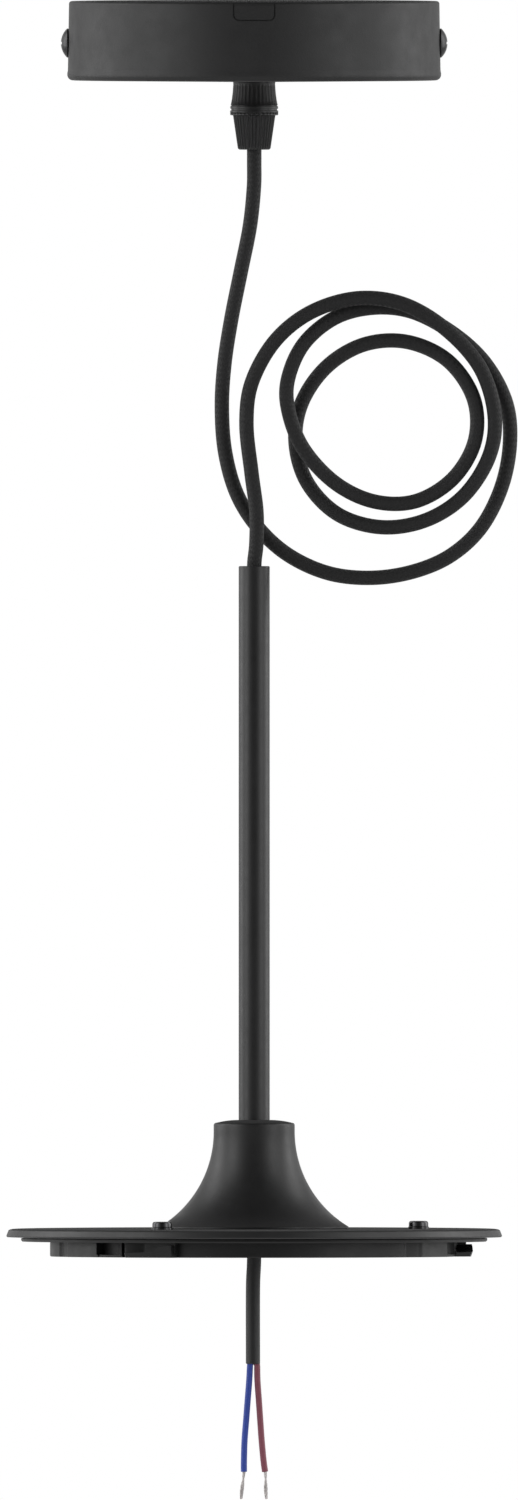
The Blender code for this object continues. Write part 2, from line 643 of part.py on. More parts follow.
def terminal_block(block_material, brass, steel):
    """Two-pole block: body, brass sleeves, clamping screws and the screw that holds it."""
    middle = (BLOCK_TOP + BLOCK_BOTTOM) / 2
    body = rounded_box(
        "terminal_block", (TERMINAL_LENGTH, TERMINAL_WIDTH, TERMINAL_HEIGHT), TERMINAL_EDGE,
        block_material, (TERMINAL_OFFSET, 0.0, middle))
    head_room = BLOCK_HEAD_HEIGHT + GAP * 2
    combine(body, rod_cutter(
        "block_screw_hole", BLOCK_SCREW_DIAMETER / 2 + GAP, TERMINAL_HEIGHT * 2,
        (TERMINAL_OFFSET, 0.0, middle)))
    sideways = (0.0, math.pi / 2, 0.0)
    for side, pole in ((-1, "live"), (1, "neutral")):
        y = side * TERMINAL_PITCH / 2
        combine(body, rod_cutter(
            "sleeve_hole_" + pole, SLEEVE_DIAMETER / 2 + GAP, TERMINAL_LENGTH * 2,
            (TERMINAL_OFFSET, y, SLEEVE_Z), sideways))
        sleeve = turned(
            "terminal_sleeve_" + pole,
            sleeve_profile(SLEEVE_DIAMETER / 2, SLEEVE_BORE / 2, SLEEVE_LENGTH / 2, -SLEEVE_LENGTH / 2),
            brass, SMALL_SEGMENTS, location=(TERMINAL_OFFSET, y, SLEEVE_Z), rotation=sideways)
        for end, word in ((-1, "cord"), (1, "supply")):
            x = TERMINAL_OFFSET + end * TERMINAL_SCREW_SPACING / 2
            well = rod_cutter(
                "screw_well_%s_%s" % (pole, word), TERMINAL_SCREW_DIAMETER / 2 + GAP, TERMINAL_HEIGHT,
                (x, y, SLEEVE_Z - TERMINAL_HEIGHT / 2))
            combine(body, well)
            combine(sleeve, well)
            tip = SLEEVE_Z - CORE_DIAMETER / 2 - GAP
            terminal_screw("terminal_screw_%s_%s" % (pole, word), x, y, tip, steel)
    holding_screw(steel, head_room)
    return body


def terminal_screw(name, x, y, tip, material):
    """Small slotted grub screw that presses on a core from below."""
    place = (x, y, tip - TERMINAL_SCREW_LENGTH / 2)
    screw = add_object(
        name, rod_mesh(name, TERMINAL_SCREW_DIAMETER / 2, TERMINAL_SCREW_LENGTH), material, place)
    size = (TERMINAL_SCREW_DIAMETER * 2, TERMINAL_SCREW_SLOT, TERMINAL_SCREW_SLOT * 3)
    slot = add_cutter(name + "_slot", box_mesh(name + "_slot", size), (x, y, tip - TERMINAL_SCREW_LENGTH))
    combine(screw, slot)
    return screw


def holding_screw(material, head_room):
    """Pan-head screw up through the block into the bracket."""
    seat = BLOCK_BOTTOM - GAP
    head = BLOCK_HEAD_DIAMETER / 2
    shank = BLOCK_SCREW_DIAMETER / 2
    length = TERMINAL_HEIGHT + BRACKET_THICKNESS
    profile = [
        (0.0, length), (shank, length), (shank, 0.0), (head, 0.0),
        (head, GAP - BLOCK_HEAD_HEIGHT), (head - GAP * 2, -BLOCK_HEAD_HEIGHT), (0.0, -BLOCK_HEAD_HEIGHT)]
    screw = turned(
        "block_screw", profile, material, SMALL_SEGMENTS, closed=False,
        location=(TERMINAL_OFFSET, 0.0, seat))
    size = (BLOCK_HEAD_DIAMETER * 2, TERMINAL_SCREW_SLOT * 2, head_room)
    slot = add_cutter(
        "block_screw_slot", box_mesh("block_screw_slot", size),
        (TERMINAL_OFFSET, 0.0, seat - BLOCK_HEAD_HEIGHT - head_room / 4))
    combine(screw, slot)
    return screw


def leads(blue, brown):
    """The two cores inside the canopy, from the cord's end into the block's sleeves."""
    start = CORD_TOP + GAP
    mouth = TERMINAL_OFFSET - TERMINAL_LENGTH / 2
    rise = SLEEVE_Z - start
    for side, name, material in ((-1, "lead_live", brown), (1, "lead_neutral", blue)):
        pole = side * TERMINAL_PITCH / 2
        near = side * LEAD_SPREAD
        route = [(0.0, near, start)]
        for across, sideways, up in LEAD_BENDS:
            route.append((mouth * across, near + (pole - near) * sideways, start + rise * up))
        route += [(mouth, pole, SLEEVE_Z), (mouth + LEAD_INSERTION, pole, SLEEVE_Z)]
        line = smooth_route([Vector(point) / MM for point in route])
        tube(name, even_points(line, LEAD_POINTS), CORE_DIAMETER, material)


def cord_grip(plastic, clamp_material, steel):
    """Ribbed body, clamping nut, clamp ring, and the washer and nut inside the canopy."""
    collar = GRIP_COLLAR_DIAMETER / 2
    thread = GRIP_THREAD_DIAMETER / 2
    spigot = GRIP_SPIGOT_DIAMETER / 2
    lip = GRIP_BODY_TOP_DIAMETER / 2
    body = turned("grip_body", [
        (thread, THREAD_END), (thread, GRIP_TOP), (lip, GRIP_TOP),
        (lip, GRIP_TOP - GRIP_BODY_LIP), (lip - GRIP_RIB_DEPTH * 2, GRIP_TOP - GRIP_BODY_LIP),
        (lip - GRIP_RIB_DEPTH * 2, GRIP_BODY_END), (collar, GRIP_BODY_END), (collar, GRIP_COLLAR_END),
        (spigot, GRIP_COLLAR_END), (spigot, SPIGOT_END), (CORD_PASSAGE, SPIGOT_END),
        (CORD_PASSAGE, THREAD_END)], plastic)
    ribs = add_cutter("grip_body_ribs", ribbed_mesh(
        "grip_body_ribs", GRIP_BODY_TOP_DIAMETER, GRIP_BODY_LOWER_DIAMETER,
        GRIP_TOP - GRIP_BODY_LIP / 2, GRIP_BODY_END - GRIP_BODY_COLLAR_HEIGHT / 2))
    rib_core = rod_cutter(
        "grip_body_rib_core", lip - GRIP_RIB_DEPTH * 3, GRIP_BODY_HEIGHT * 2,
        (0.0, 0.0, (GRIP_TOP + GRIP_BODY_END) / 2), segments=MEDIUM_SEGMENTS)
    combine(ribs, rib_core)
    combine(body, ribs, "UNION")

    nut_top = GRIP_NUT_TOP_DIAMETER / 2
    nut_low = GRIP_NUT_LOWER_DIAMETER / 2
    socket = GRIP_SPIGOT_DIAMETER / 2 + GAP
    cavity = CLAMP_RING_DIAMETER / 2 + GAP
    step = SPIGOT_END - GAP
    nut_inset = GRIP_RIB_DEPTH * 2
    nut = turned("grip_nut", [
        (collar, NUT_TOP), (collar, NUT_COLLAR_END), (nut_top - nut_inset, NUT_COLLAR_END),
        (nut_low - nut_inset, NUT_END + GRIP_NUT_EDGE), (nut_low - nut_inset - GRIP_NUT_EDGE, NUT_END),
        (CORD_PASSAGE, NUT_END), (CORD_PASSAGE, CLAMP_SEAT), (cavity, CLAMP_SEAT),
        (cavity, step), (socket, step), (socket, NUT_TOP)], plastic)
    nut_ribs = add_cutter("grip_nut_ribs", ribbed_mesh(
        "grip_nut_ribs", GRIP_NUT_TOP_DIAMETER, GRIP_NUT_LOWER_DIAMETER,
        NUT_COLLAR_END + GRIP_NUT_COLLAR_HEIGHT / 2, NUT_END + GRIP_NUT_EDGE))
    nut_core = turned_cutter("grip_nut_rib_core", [
        (0.0, NUT_TOP), (nut_top - nut_inset * 1.5, NUT_TOP),
        (nut_low - nut_inset * 1.5, NUT_END), (0.0, NUT_END)])
    combine(nut_ribs, nut_core)
    combine(nut, nut_ribs, "UNION")

    turned("grip_clamp_ring", sleeve_profile(
        CLAMP_RING_DIAMETER / 2, CORD_PASSAGE, SPIGOT_END - GAP, CLAMP_SEAT + GAP),
        clamp_material, SMALL_SEGMENTS)
    turned("grip_lock_washer", sleeve_profile(
        LOCK_WASHER_DIAMETER / 2, thread + GAP, LOCK_WASHER_Z + LOCK_WASHER_THICKNESS, LOCK_WASHER_Z), steel)
    hex_nut("grip_lock_nut", LOCK_NUT_ACROSS_FLATS, GRIP_THREAD_DIAMETER + GAP * 2,
            LOCK_NUT_Z, LOCK_NUT_HEIGHT, steel)


def cords(textile):
    """The textile cord: its end in the grip, the free loops, and the run inside the tube."""
    mouth = CORD_ROUTE[0][2] * MM
    tube(
        "cord_in_grip", [(0.0, 0.0, CORD_TOP), (0.0, 0.0, mouth + GAP)], CORD_DIAMETER, textile, 3)
    tube("braided_cord", even_points(smooth_route(CORD_ROUTE), CORD_POINTS), CORD_DIAMETER, textile)
    tube_mouth = CORD_ROUTE[-1][2] * MM
    cable_top = BUSH_BOTTOM + CABLE_ROUTE[0][2] * MM
    tube(
        "cord_in_tube", [(0.0, 0.0, tube_mouth - GAP), (0.0, 0.0, cable_top + GAP)],
        CORD_DIAMETER, textile, 3)


def hanging_tube(name, route, count, diameter, material, resolution=2):
    """A tube along a route that is measured from the lower bush's mouth."""
    line = [point + Vector((0.0, 0.0, BUSH_BOTTOM)) for point in smooth_route(route)]
    return tube(name, even_points(line, count), diameter, material, resolution)


def cable_end(sheath, blue, brown, copper):
    """The plain cable below the flange, its two cores and their bare strands."""
    hanging_tube("lower_cable", CABLE_ROUTE, 6, CABLE_DIAMETER, sheath, 3)
    for name, core_route, strand_route, material in (
            ("blue", BLUE_CORE_ROUTE, BLUE_STRAND_ROUTE, blue),
            ("brown", BROWN_CORE_ROUTE, BROWN_STRAND_ROUTE, brown)):
        hanging_tube("core_" + name, core_route, 9, CORE_DIAMETER, material)
        hanging_tube("strand_" + name, strand_route, 5, STRAND_DIAMETER, copper, 1)


def down_tube(metal, plastic, steel):
    """Straight tube through the trumpet and the flange, with its bushes, washers and nuts."""
    outer = TUBE_DIAMETER / 2
    bore = TUBE_BORE / 2
    turned("down_tube", [
        (outer - TUBE_TOP_CHAMFER, TUBE_TOP), (outer, TUBE_TOP - TUBE_TOP_CHAMFER),
        (outer, TUBE_BOTTOM), (bore, TUBE_BOTTOM), (bore, TUBE_TOP)], metal)
    bush = bore - GAP
    bush_top = TUBE_TOP - BUSH_RECESS
    turned("tube_bush_upper", sleeve_profile(
        bush, CORD_PASSAGE, bush_top, bush_top - BUSH_LENGTH), plastic, SMALL_SEGMENTS)
    turned("tube_bush_lower", [
        (bush, TUBE_BOTTOM + BUSH_LENGTH), (bush, BUSH_FLANGE_TOP), (outer, BUSH_FLANGE_TOP),
        (outer, BUSH_BOTTOM), (CORD_PASSAGE, BUSH_BOTTOM), (CORD_PASSAGE, TUBE_BOTTOM + BUSH_LENGTH)],
        plastic, SMALL_SEGMENTS)
    bore_diameter = TUBE_PASSAGE * 2
    hex_nut("tube_nut_upper", LOCK_NUT_ACROSS_FLATS, bore_diameter, FLANGE_TOP + GAP,
            TUBE_NUT_HEIGHT, steel)
    washer_bottom = FLANGE_BOTTOM - GAP - LOCK_WASHER_THICKNESS
    turned("tube_washer_lower", sleeve_profile(
        LOCK_WASHER_DIAMETER / 2, TUBE_PASSAGE, washer_bottom + LOCK_WASHER_THICKNESS, washer_bottom), steel)
    hex_nut("tube_nut_lower", LOCK_NUT_ACROSS_FLATS, bore_diameter,
            washer_bottom - GAP - TUBE_NUT_HEIGHT, TUBE_NUT_HEIGHT, steel)


def trumpet_outline(radius_offset, steps):
    """Flare's arc from its foot up to the neck, moved inwards by radius_offset."""
    centre = (NECK_DIAMETER / 2 + FLARE_RADIUS, FLARE_START)
    span = math.degrees(math.asin(FLARE_DROP / FLARE_RADIUS))
    radius = FLARE_RADIUS + radius_offset
    return arc(centre, radius, 180.0, 180.0 + span, steps)


def trumpet(metal):
    """Hollow flared cover with a slightly domed top, open below."""
    neck = NECK_DIAMETER / 2
    edge = NECK_EDGE_RADIUS
    shoulder = NECK_TOP - NECK_DOME
    dome_run = neck - edge - TUBE_PASSAGE
    profile = []
    for index in range(DOME_STEPS):
        part = index / DOME_STEPS
        profile.append((TUBE_PASSAGE + dome_run * part, NECK_TOP - NECK_DOME * part ** 2))
    profile += arc((neck - edge, shoulder - edge), edge, 90.0, 0.0, 2)
    profile += trumpet_outline(0.0, TRUMPET_STEPS)
    profile += [(FLARE_FOOT_RADIUS, TRUMPET_FOOT)]
    inside = trumpet_outline(TRUMPET_WALL, TRUMPET_STEPS // 2)[::-1]
    inner_neck = neck - TRUMPET_WALL
    under_top = shoulder - TRUMPET_WALL
    profile += [(inside[0][0], TRUMPET_FOOT)]
    profile += inside[1:]
    profile += [(inner_neck, under_top), (TUBE_PASSAGE, under_top)]
    return turned("trumpet_cover", profile, metal, TRUMPET_SEGMENTS)


def screw_places():
    """Axis points of the three flange screws."""
    radius = FLANGE_SCREW_CIRCLE / 2
    for index, degrees in enumerate(FLANGE_SCREW_ANGLES, 1):
        angle = math.radians(degrees)
        yield index, radius * math.sin(angle), -radius * math.cos(angle)


def flange_disc(metal):
    """Turned disc with a centre hole and three screw holes."""
    lower = FLANGE_DIAMETER / 2
    upper = FLANGE_TOP_DIAMETER / 2
    edge = FLANGE_EDGE_RADIUS
    profile = arc((upper - edge, FLANGE_TOP - edge), edge, 90.0, 10.0, 4)
    profile += [(lower, FLANGE_BOTTOM), (TUBE_PASSAGE, FLANGE_BOTTOM), (TUBE_PASSAGE, FLANGE_TOP)]
    disc = turned("flange_disc", profile, metal, ROUND_SEGMENTS)
    for index, x, y in screw_places():
        combine(disc, rod_cutter(
            "flange_hole_%d" % index, FLANGE_SCREW_DIAMETER / 2 + GAP, FLANGE_THICKNESS * 4,
            (x, y, FLANGE_TOP)))
    return disc


def flange_screws(material):
    """Rimmed pan-head screws that hold the bayonet ring's plate under the disc."""
    head = FLANGE_SCREW_HEAD_DIAMETER / 2
    rim = FLANGE_SCREW_RIM_DIAMETER / 2
    shank = FLANGE_SCREW_DIAMETER / 2
    edge = FLANGE_SCREW_HEAD_EDGE
    rim_top = FLANGE_SCREW_RIM_HEIGHT
    top = rim_top + FLANGE_SCREW_HEAD_HEIGHT
    for index, x, y in screw_places():
        name = "flange_screw_%d" % index
        screw = turned(name, [
            (0.0, top), (head - edge, top), (head, top - edge), (head, rim_top), (rim, rim_top),
            (rim, 0.0), (shank, 0.0), (shank, -FLANGE_SCREW_LENGTH), (0.0, -FLANGE_SCREW_LENGTH)],
            material, SMALL_SEGMENTS, closed=False, location=(x, y, FLANGE_TOP + GAP))
        for part, size in enumerate((
                (FLANGE_RECESS_LENGTH, CROSS_RECESS_WIDTH, CROSS_RECESS_DEPTH * 2),
                (CROSS_RECESS_WIDTH, FLANGE_RECESS_LENGTH, CROSS_RECESS_DEPTH * 2))):
            recess = "%s_recess_%d" % (name, part)
            combine(screw, add_cutter(recess, box_mesh(recess, size), (x, y, FLANGE_TOP + GAP + top)))


def bayonet_ring(plastic):
    """Plate and downward ring in one piece, with three ramped lugs, pockets, pads and grooves."""
    inner = RING_RADIUS - RING_WALL
    shoulder_radius = PLATE_DIAMETER / 2 - PLATE_SHOULDER
    profile = [
        (shoulder_radius, PLATE_TOP), (shoulder_radius, PLATE_TOP - PLATE_SHOULDER_DEPTH),
        (PLATE_DIAMETER / 2, PLATE_TOP - PLATE_SHOULDER_DEPTH), (PLATE_DIAMETER / 2, PLATE_BOTTOM),
        (RING_RADIUS, PLATE_BOTTOM), (RING_RADIUS, RING_BOTTOM), (inner, RING_BOTTOM),
        (inner, PLATE_BOTTOM), (PLATE_INNER_DIAMETER / 2, PLATE_BOTTOM),
        (PLATE_INNER_DIAMETER / 2, PLATE_TOP)]
    ring = turned("bayonet_ring", profile, plastic, ROUND_SEGMENTS)
    overlap = RING_WALL / 2
    into_plate = PLATE_THICKNESS / 2
    beyond = LUG_DIAMETER / 2 + GAP
    for index in range(BAYONET_COUNT):
        turn = index * 360.0 / BAYONET_COUNT
        lug = add_cutter("lug_%d" % index, lug_mesh("lug_%d" % index, turn))
        stop = add_cutter("stop_%d" % index, ring_sector(
            "stop_%d" % index, RING_RADIUS - overlap, LUG_STOP_DIAMETER / 2, LUG_RAMP_END + turn,
            LUG_END - SECTOR_OVERLAP + turn, RING_BOTTOM + LUG_LOW_HEIGHT, PLATE_BOTTOM + into_plate))
        pad = add_cutter("pad_%d" % index, ring_sector(
            "pad_%d" % index, RING_RADIUS - overlap, RING_RADIUS + PAD_RISE, PAD_START + turn,
            POCKET_START + SECTOR_OVERLAP + turn, RING_BOTTOM, PLATE_BOTTOM + into_plate))
        pocket = add_cutter("pocket_%d" % index, ring_sector(
            "pocket_%d" % index, RING_RADIUS - POCKET_DEPTH, beyond, POCKET_START + turn,
            LUG_START + turn, RING_BOTTOM + POCKET_LIP, PLATE_BOTTOM - GAP))
        groove = add_cutter("groove_%d" % index, ring_sector(
            "groove_%d" % index, RING_RADIUS - GROOVE_DEPTH, beyond, GROOVE_START + turn,
            GROOVE_END + turn, RING_BOTTOM - into_plate, PLATE_BOTTOM - GAP))
        combine(ring, lug, "UNION")
        combine(ring, stop, "UNION")
        combine(ring, pad, "UNION")
        combine(ring, pocket)
        combine(ring, groove)
    for index, x, y in screw_places():
        boss_top = PLATE_BOTTOM + into_plate
        boss = rod_cutter(
            "boss_%d" % index, BOSS_DIAMETER / 2, BOSS_HEIGHT + into_plate,
            (x, y, boss_top - (BOSS_HEIGHT + into_plate) / 2))
        combine(ring, boss, "UNION")
        combine(ring, rod_cutter(
            "boss_hole_%d" % index, FLANGE_SCREW_DIAMETER / 2 + GAP,
            (FLANGE_SCREW_LENGTH + GAP) * 2, (x, y, FLANGE_TOP)))
    return ring


def lug_mesh(name, turn):
    """Outward lug whose top climbs from a low sill to a higher one."""
    steps = 12
    mesh = ring_sector(
        name, RING_RADIUS - RING_WALL / 2, LUG_DIAMETER / 2, LUG_START - SECTOR_OVERLAP + turn,
        LUG_END + turn, RING_BOTTOM, PLATE_BOTTOM, steps)
    middle = (RING_BOTTOM + PLATE_BOTTOM) / 2
    for vertex in mesh.vertices:
        degrees = (angle_from_front(vertex.co) - turn + 180.0) % 360.0 - 180.0
        if vertex.co.z > middle:
            vertex.co.z = RING_BOTTOM + lug_height(degrees)
        if degrees > LUG_END - SECTOR_OVERLAP and vertex.co.xy.length > RING_RADIUS:
            vertex.co.xy *= (RING_RADIUS + PAD_RISE) / vertex.co.xy.length
    return mesh


def lug_height(degrees):
    """Height of the lug's top above the ring's bottom edge."""
    return LUG_LOW_HEIGHT if degrees < LUG_RAMP_START else LUG_HIGH_HEIGHT


def build():
    """Model every piece."""
    start_scene()
    black_coat = finish("black_coat", (0.030, 0.030, 0.031), 0.55)
    satin_black = finish("satin_black", (0.035, 0.035, 0.036), 0.38, 0.3)
    black_plastic = finish("black_plastic", (0.020, 0.020, 0.021), 0.45)
    black_screw = finish("black_screw", (0.018, 0.018, 0.019), 0.35, 0.4)
    zinc = finish("zinc_steel", (0.55, 0.56, 0.58), 0.35, 1.0)
    brass = finish("brass", (0.72, 0.55, 0.25), 0.30, 1.0)
    ivory = finish("ivory_plastic", (0.72, 0.70, 0.62), 0.50)
    nylon = finish("natural_nylon", (0.62, 0.60, 0.54), 0.50)
    textile = finish("black_textile", (0.022, 0.022, 0.023), 0.90)
    sheath = finish("black_sheath", (0.024, 0.024, 0.025), 0.50)
    blue = finish("blue_insulation", (0.045, 0.075, 0.300), 0.45)
    brown = finish("brown_insulation", (0.200, 0.065, 0.080), 0.45)
    tinned = finish("tinned_copper", (0.55, 0.53, 0.52), 0.40, 1.0)

    canopy_cup(black_coat)
    ceiling_bracket(black_coat)
    side_screw("left", -1, black_screw)
    side_screw("right", 1, black_screw)
    terminal_block(ivory, brass, zinc)
    leads(blue, brown)
    cord_grip(black_plastic, nylon, zinc)
    cords(textile)
    down_tube(satin_black, black_plastic, zinc)
    trumpet(satin_black)
    flange_disc(satin_black)
    flange_screws(black_screw)
    bayonet_ring(black_plastic)
    cable_end(sheath, blue, brown, tinned)
    for thing in bpy.data.collections[PARTS].objects:
        if thing.type == "MESH":
            shade(thing.data)


build()
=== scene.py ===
"""Looks of the pendant cord set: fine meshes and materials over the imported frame.

+Z is up, +X to the right and +Y away from the camera. Sizes are in millimetres, and MM turns
them into the frame's metres.
"""

import math

import bmesh
import bpy
from mathutils import Matrix, Vector


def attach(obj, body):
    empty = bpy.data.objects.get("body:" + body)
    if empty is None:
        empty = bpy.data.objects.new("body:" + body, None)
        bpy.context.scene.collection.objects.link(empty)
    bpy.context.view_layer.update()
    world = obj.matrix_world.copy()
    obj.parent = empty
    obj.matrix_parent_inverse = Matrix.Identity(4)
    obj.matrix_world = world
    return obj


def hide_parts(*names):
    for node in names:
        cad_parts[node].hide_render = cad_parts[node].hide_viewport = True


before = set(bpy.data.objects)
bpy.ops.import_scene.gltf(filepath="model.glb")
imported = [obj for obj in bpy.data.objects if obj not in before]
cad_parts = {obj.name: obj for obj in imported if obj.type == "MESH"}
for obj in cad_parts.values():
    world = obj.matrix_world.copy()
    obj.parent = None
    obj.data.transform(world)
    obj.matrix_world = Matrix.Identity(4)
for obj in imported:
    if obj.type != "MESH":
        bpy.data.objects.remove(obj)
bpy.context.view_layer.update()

MM = 0.001
GAP = 0.3

# Camera, from the photograph: its middle in the object's plane, its height and its elevation
VIEW_MIDDLE = (1.544, 0.0, -240.96)
VIEW_HEIGHT = 482.6
VIEW_ELEVATION = 0.42
VIEW_DISTANCE = 1500.0

# Levels, top to bottom
CANOPY_BOTTOM = -26.0
GRIP_TOP = -26.3
GRIP_BODY_END = -33.8
GRIP_COLLAR_END = -34.65
NUT_TOP = -35.2
NUT_COLLAR_END = -36.7
NUT_END = -47.8
THREAD_END = -18.4
CORD_TOP = -16.2
TUBE_TOP = -181.8
NECK_TOP = -360.0
FLARE_START = -363.7
FLARE_END = -394.3
TRUMPET_FOOT = -394.7
FLANGE_TOP = -395.0
FLANGE_BOTTOM = -397.7
PLATE_TOP = -398.0
PLATE_BOTTOM = -399.1
TUBE_BOTTOM = -402.3
BUSH_BOTTOM = -403.4
RING_BOTTOM = -403.9

# Radii
CANOPY_RADIUS = 60.0
CANOPY_RIM = 59.6
CANOPY_WALL = 1.5
GRIP_SEAT = 9.0
NECK_RADIUS = 13.05
FLARE_RADIUS = 35.7
TUBE_RADIUS = 5.0
TUBE_BORE = 4.0
TUBE_PASSAGE = 5.3
RING_RADIUS = 65.7
CORD_DIAMETER = 4.7
CORD_PASSAGE = 2.65
CABLE_DIAMETER = 4.6
CORE_DIAMETER = 2.0
STRAND_DIAMETER = 1.1

# Knock-out in the canopy's front wall and the score around it
KNOCKOUT_WIDTH = 13.6
KNOCKOUT_HEIGHT = 6.0
KNOCKOUT_CORNER = 2.0
SCORE_WIDTH = 0.4
SCORE_DEPTH = 0.4

# Screws: places, radii of their holes, and the cross recess in their heads
SIDE_SCREW_Z = -13.5
SIDE_SCREW_HOLE = 2.3
FLANGE_SCREW_RADIUS = 53.0
FLANGE_SCREW_HOLE = 1.8
FLANGE_SCREW_ANGLES = (86.0, -34.0, 206.0)
RECESS_DEPTH = 1.2
RECESS_WIDTH = 0.8

# Upright flutes of the grip, round the whole turn, and the power that shapes their crests
FLUTES = 36
FLUTE_POWER = 0.8

# Bayonet ring: where the first of each feature starts and ends, in degrees from the front towards +X
BAYONET_COUNT = 3
LUG_SPAN = (-39.3, -21.8)
SLOT_END = -24.6
SEAM_SPAN = (-40.5, -39.35)
POCKET_SPAN = (-50.2, -40.9)
PAD_SPAN = (-66.5, -49.6)
RAMP_SPAN = (-72.6, -66.4)

# Outline of a lug: (share of the way along it, height above the ring's bottom or reach out of the ring)
LUG_TOP = ((0.0, 1.35), (0.22, 1.5), (0.67, 1.95), (0.71, 2.8), (0.86, 3.9), (1.0, 3.9))
LUG_FACE = ((0.0, 0.3), (0.17, 4.7), (0.965, 4.7), (1.0, 0.1))
LUG_STOP_RADIUS = 68.5

# Bends of a lead, as shares of its way to the block, to its pole and up to the sleeve
LEAD_BENDS = ((0.0, 0.0, 0.25), (0.16, 0.2, 0.6), (0.45, 0.6, 0.92), (0.8, 1.0, 1.0))

# Studio: the floor, and what the lamps point at
FLOOR_LEVEL = -620.0
FLOOR_REACH = 4000.0
LAMP_AIM = (0.0, 0.0, -240.0)

# Route of the textile cord's free part, from the grip through its loops to the tube
CORD_ROUTE = (
    (0.0, 0.0, -46.9), (0.0, 0.0, -52.0), (-0.1, 0.0, -60.0), (-1.4, 0.3, -72.5),
    (-4.3, 1.0, -87.0), (-7.4, 2.2, -102.5), (-9.6, 3.4, -117.0), (-10.4, 4.5, -131.0),
    (-9.3, 5.2, -145.5), (-5.4, 5.5, -159.0), (1.7, 5.6, -170.0), (11.5, 5.8, -178.6),
    (24.2, 6.0, -184.2), (38.0, 6.0, -185.6), (51.5, 6.0, -183.5), (63.4, 6.0, -178.3),
    (73.1, 6.0, -169.2), (79.7, 6.0, -156.0), (82.3, 6.0, -141.8), (80.9, 6.0, -128.9),
    (74.1, 6.0, -116.3), (63.6, 6.0, -106.7), (50.8, 5.9, -100.0), (38.2, 5.4, -98.7),
    (26.0, 3.6, -101.9), (16.0, 1.7, -110.2), (10.9, 0.4, -121.5), (11.0, 0.0, -131.8),
    (15.8, 0.0, -144.0), (26.0, 0.0, -155.0), (38.6, 0.0, -161.0), (52.0, 0.2, -160.9),
    (64.0, 0.7, -153.6), (71.0, 1.4, -141.5), (70.6, 2.2, -127.9), (62.4, 3.1, -115.8),
    (49.3, 4.0, -109.7), (35.4, 4.8, -110.5), (23.3, 5.4, -117.7), (15.3, 5.7, -129.3),
    (13.3, 5.7, -142.0), (17.1, 5.5, -155.0), (27.0, 4.6, -165.2), (41.0, 3.0, -169.3),
    (55.3, 1.4, -167.0), (67.5, 0.4, -159.1), (75.6, 0.0, -146.4), (77.3, 0.0, -132.9),
    (72.7, 0.0, -118.0), (61.9, 0.0, -105.8), (48.3, 0.0, -97.6), (33.5, 0.0, -95.6),
    (18.6, 0.0, -99.9), (6.9, 0.0, -109.1), (-0.7, 0.0, -122.5), (-2.5, 0.0, -135.8),
    (-0.9, 0.0, -151.5), (0.7, 0.0, -164.0), (0.7, 0.0, -174.2), (0.1, 0.0, -180.0),
    (0.0, 0.0, -182.9),
)

# Routes of the hanging cable end, from the lower bush's mouth
CABLE_ROUTE = ((0.0, 0.0, 0.3), (-0.1, 0.0, -3.6), (-0.4, 0.0, -11.6), (-0.4, 0.0, -35.1))
BLUE_CORE_ROUTE = (
    (-1.35, 0.0, -35.4), (-1.6, 0.0, -40.4), (-2.1, 0.0, -46.8), (-2.6, 0.0, -53.3),
    (-3.1, 0.0, -59.7), (-3.3, 0.0, -66.1), (-3.3, 0.0, -69.8),
)
BROWN_CORE_ROUTE = (
    (0.95, 0.0, -35.4), (1.05, 0.0, -40.4), (1.5, 0.0, -46.8), (1.95, 0.0, -53.3),
    (2.4, 0.0, -59.7), (3.0, 0.0, -66.1), (3.5, 0.0, -69.8),
)
BLUE_STRAND_ROUTE = ((-3.3, 0.0, -70.1), (-3.6, 0.0, -72.8), (-4.0, 0.0, -75.8), (-4.2, 0.0, -78.3))
BROWN_STRAND_ROUTE = ((3.6, 0.0, -70.1), (3.7, 0.0, -72.8), (3.7, 0.0, -75.8), (3.9, 0.0, -78.3))


# Shapes


def as_object(name, shape, sharp=35.0):
    """An object from a bmesh, smooth but for its real edges."""
    bmesh.ops.recalc_face_normals(shape, faces=shape.faces)
    bmesh.ops.scale(shape, vec=(MM, MM, MM), verts=shape.verts)
    mesh = bpy.data.meshes.new(name)
    shape.to_mesh(mesh)
    shape.free()
    mesh.shade_smooth()
    mesh.set_sharp_from_angle(angle=math.radians(sharp))
    thing = bpy.data.objects.new(name, mesh)
    bpy.context.scene.collection.objects.link(thing)
    return thing


def arc(centre, radius, start, end, steps):
    """Points (r, z) on an arc, angles in degrees from +r towards +z."""
    points = []
    for index in range(steps + 1):
        angle = math.radians(start + (end - start) * index / steps)
        points.append((centre[0] + radius * math.cos(angle), centre[1] + radius * math.sin(angle)))
    return points


def lathe(name, profile, segments=128, closed=True, wave=None, place=None):
    """A turned piece from (radius, height) points. wave(turn, index) moves a point outwards."""
    shape = bmesh.new()
    rings = []
    for index, (radius, height) in enumerate(profile):
        count = 1 if radius < 1e-6 else segments
        ring = []
        for step in range(count):
            turn = math.tau * step / count
            out = radius + (wave(turn, index) if wave else 0.0)
            ring.append(shape.verts.new((out * math.sin(turn), -out * math.cos(turn), height)))
        rings.append(ring)
    pairs = list(zip(rings, rings[1:]))
    if closed:
        pairs.append((rings[-1], rings[0]))
    for upper, lower in pairs:
        for step in range(segments):
            corners = []
            for ring, turned in ((upper, step), (upper, step + 1), (lower, step + 1), (lower, step)):
                vertex = ring[turned % len(ring)]
                if vertex not in corners:
                    corners.append(vertex)
            if len(corners) > 2:
                shape.faces.new(corners)
    if place is not None:
        bmesh.ops.transform(shape, matrix=place, verts=shape.verts)
    return as_object(name, shape)


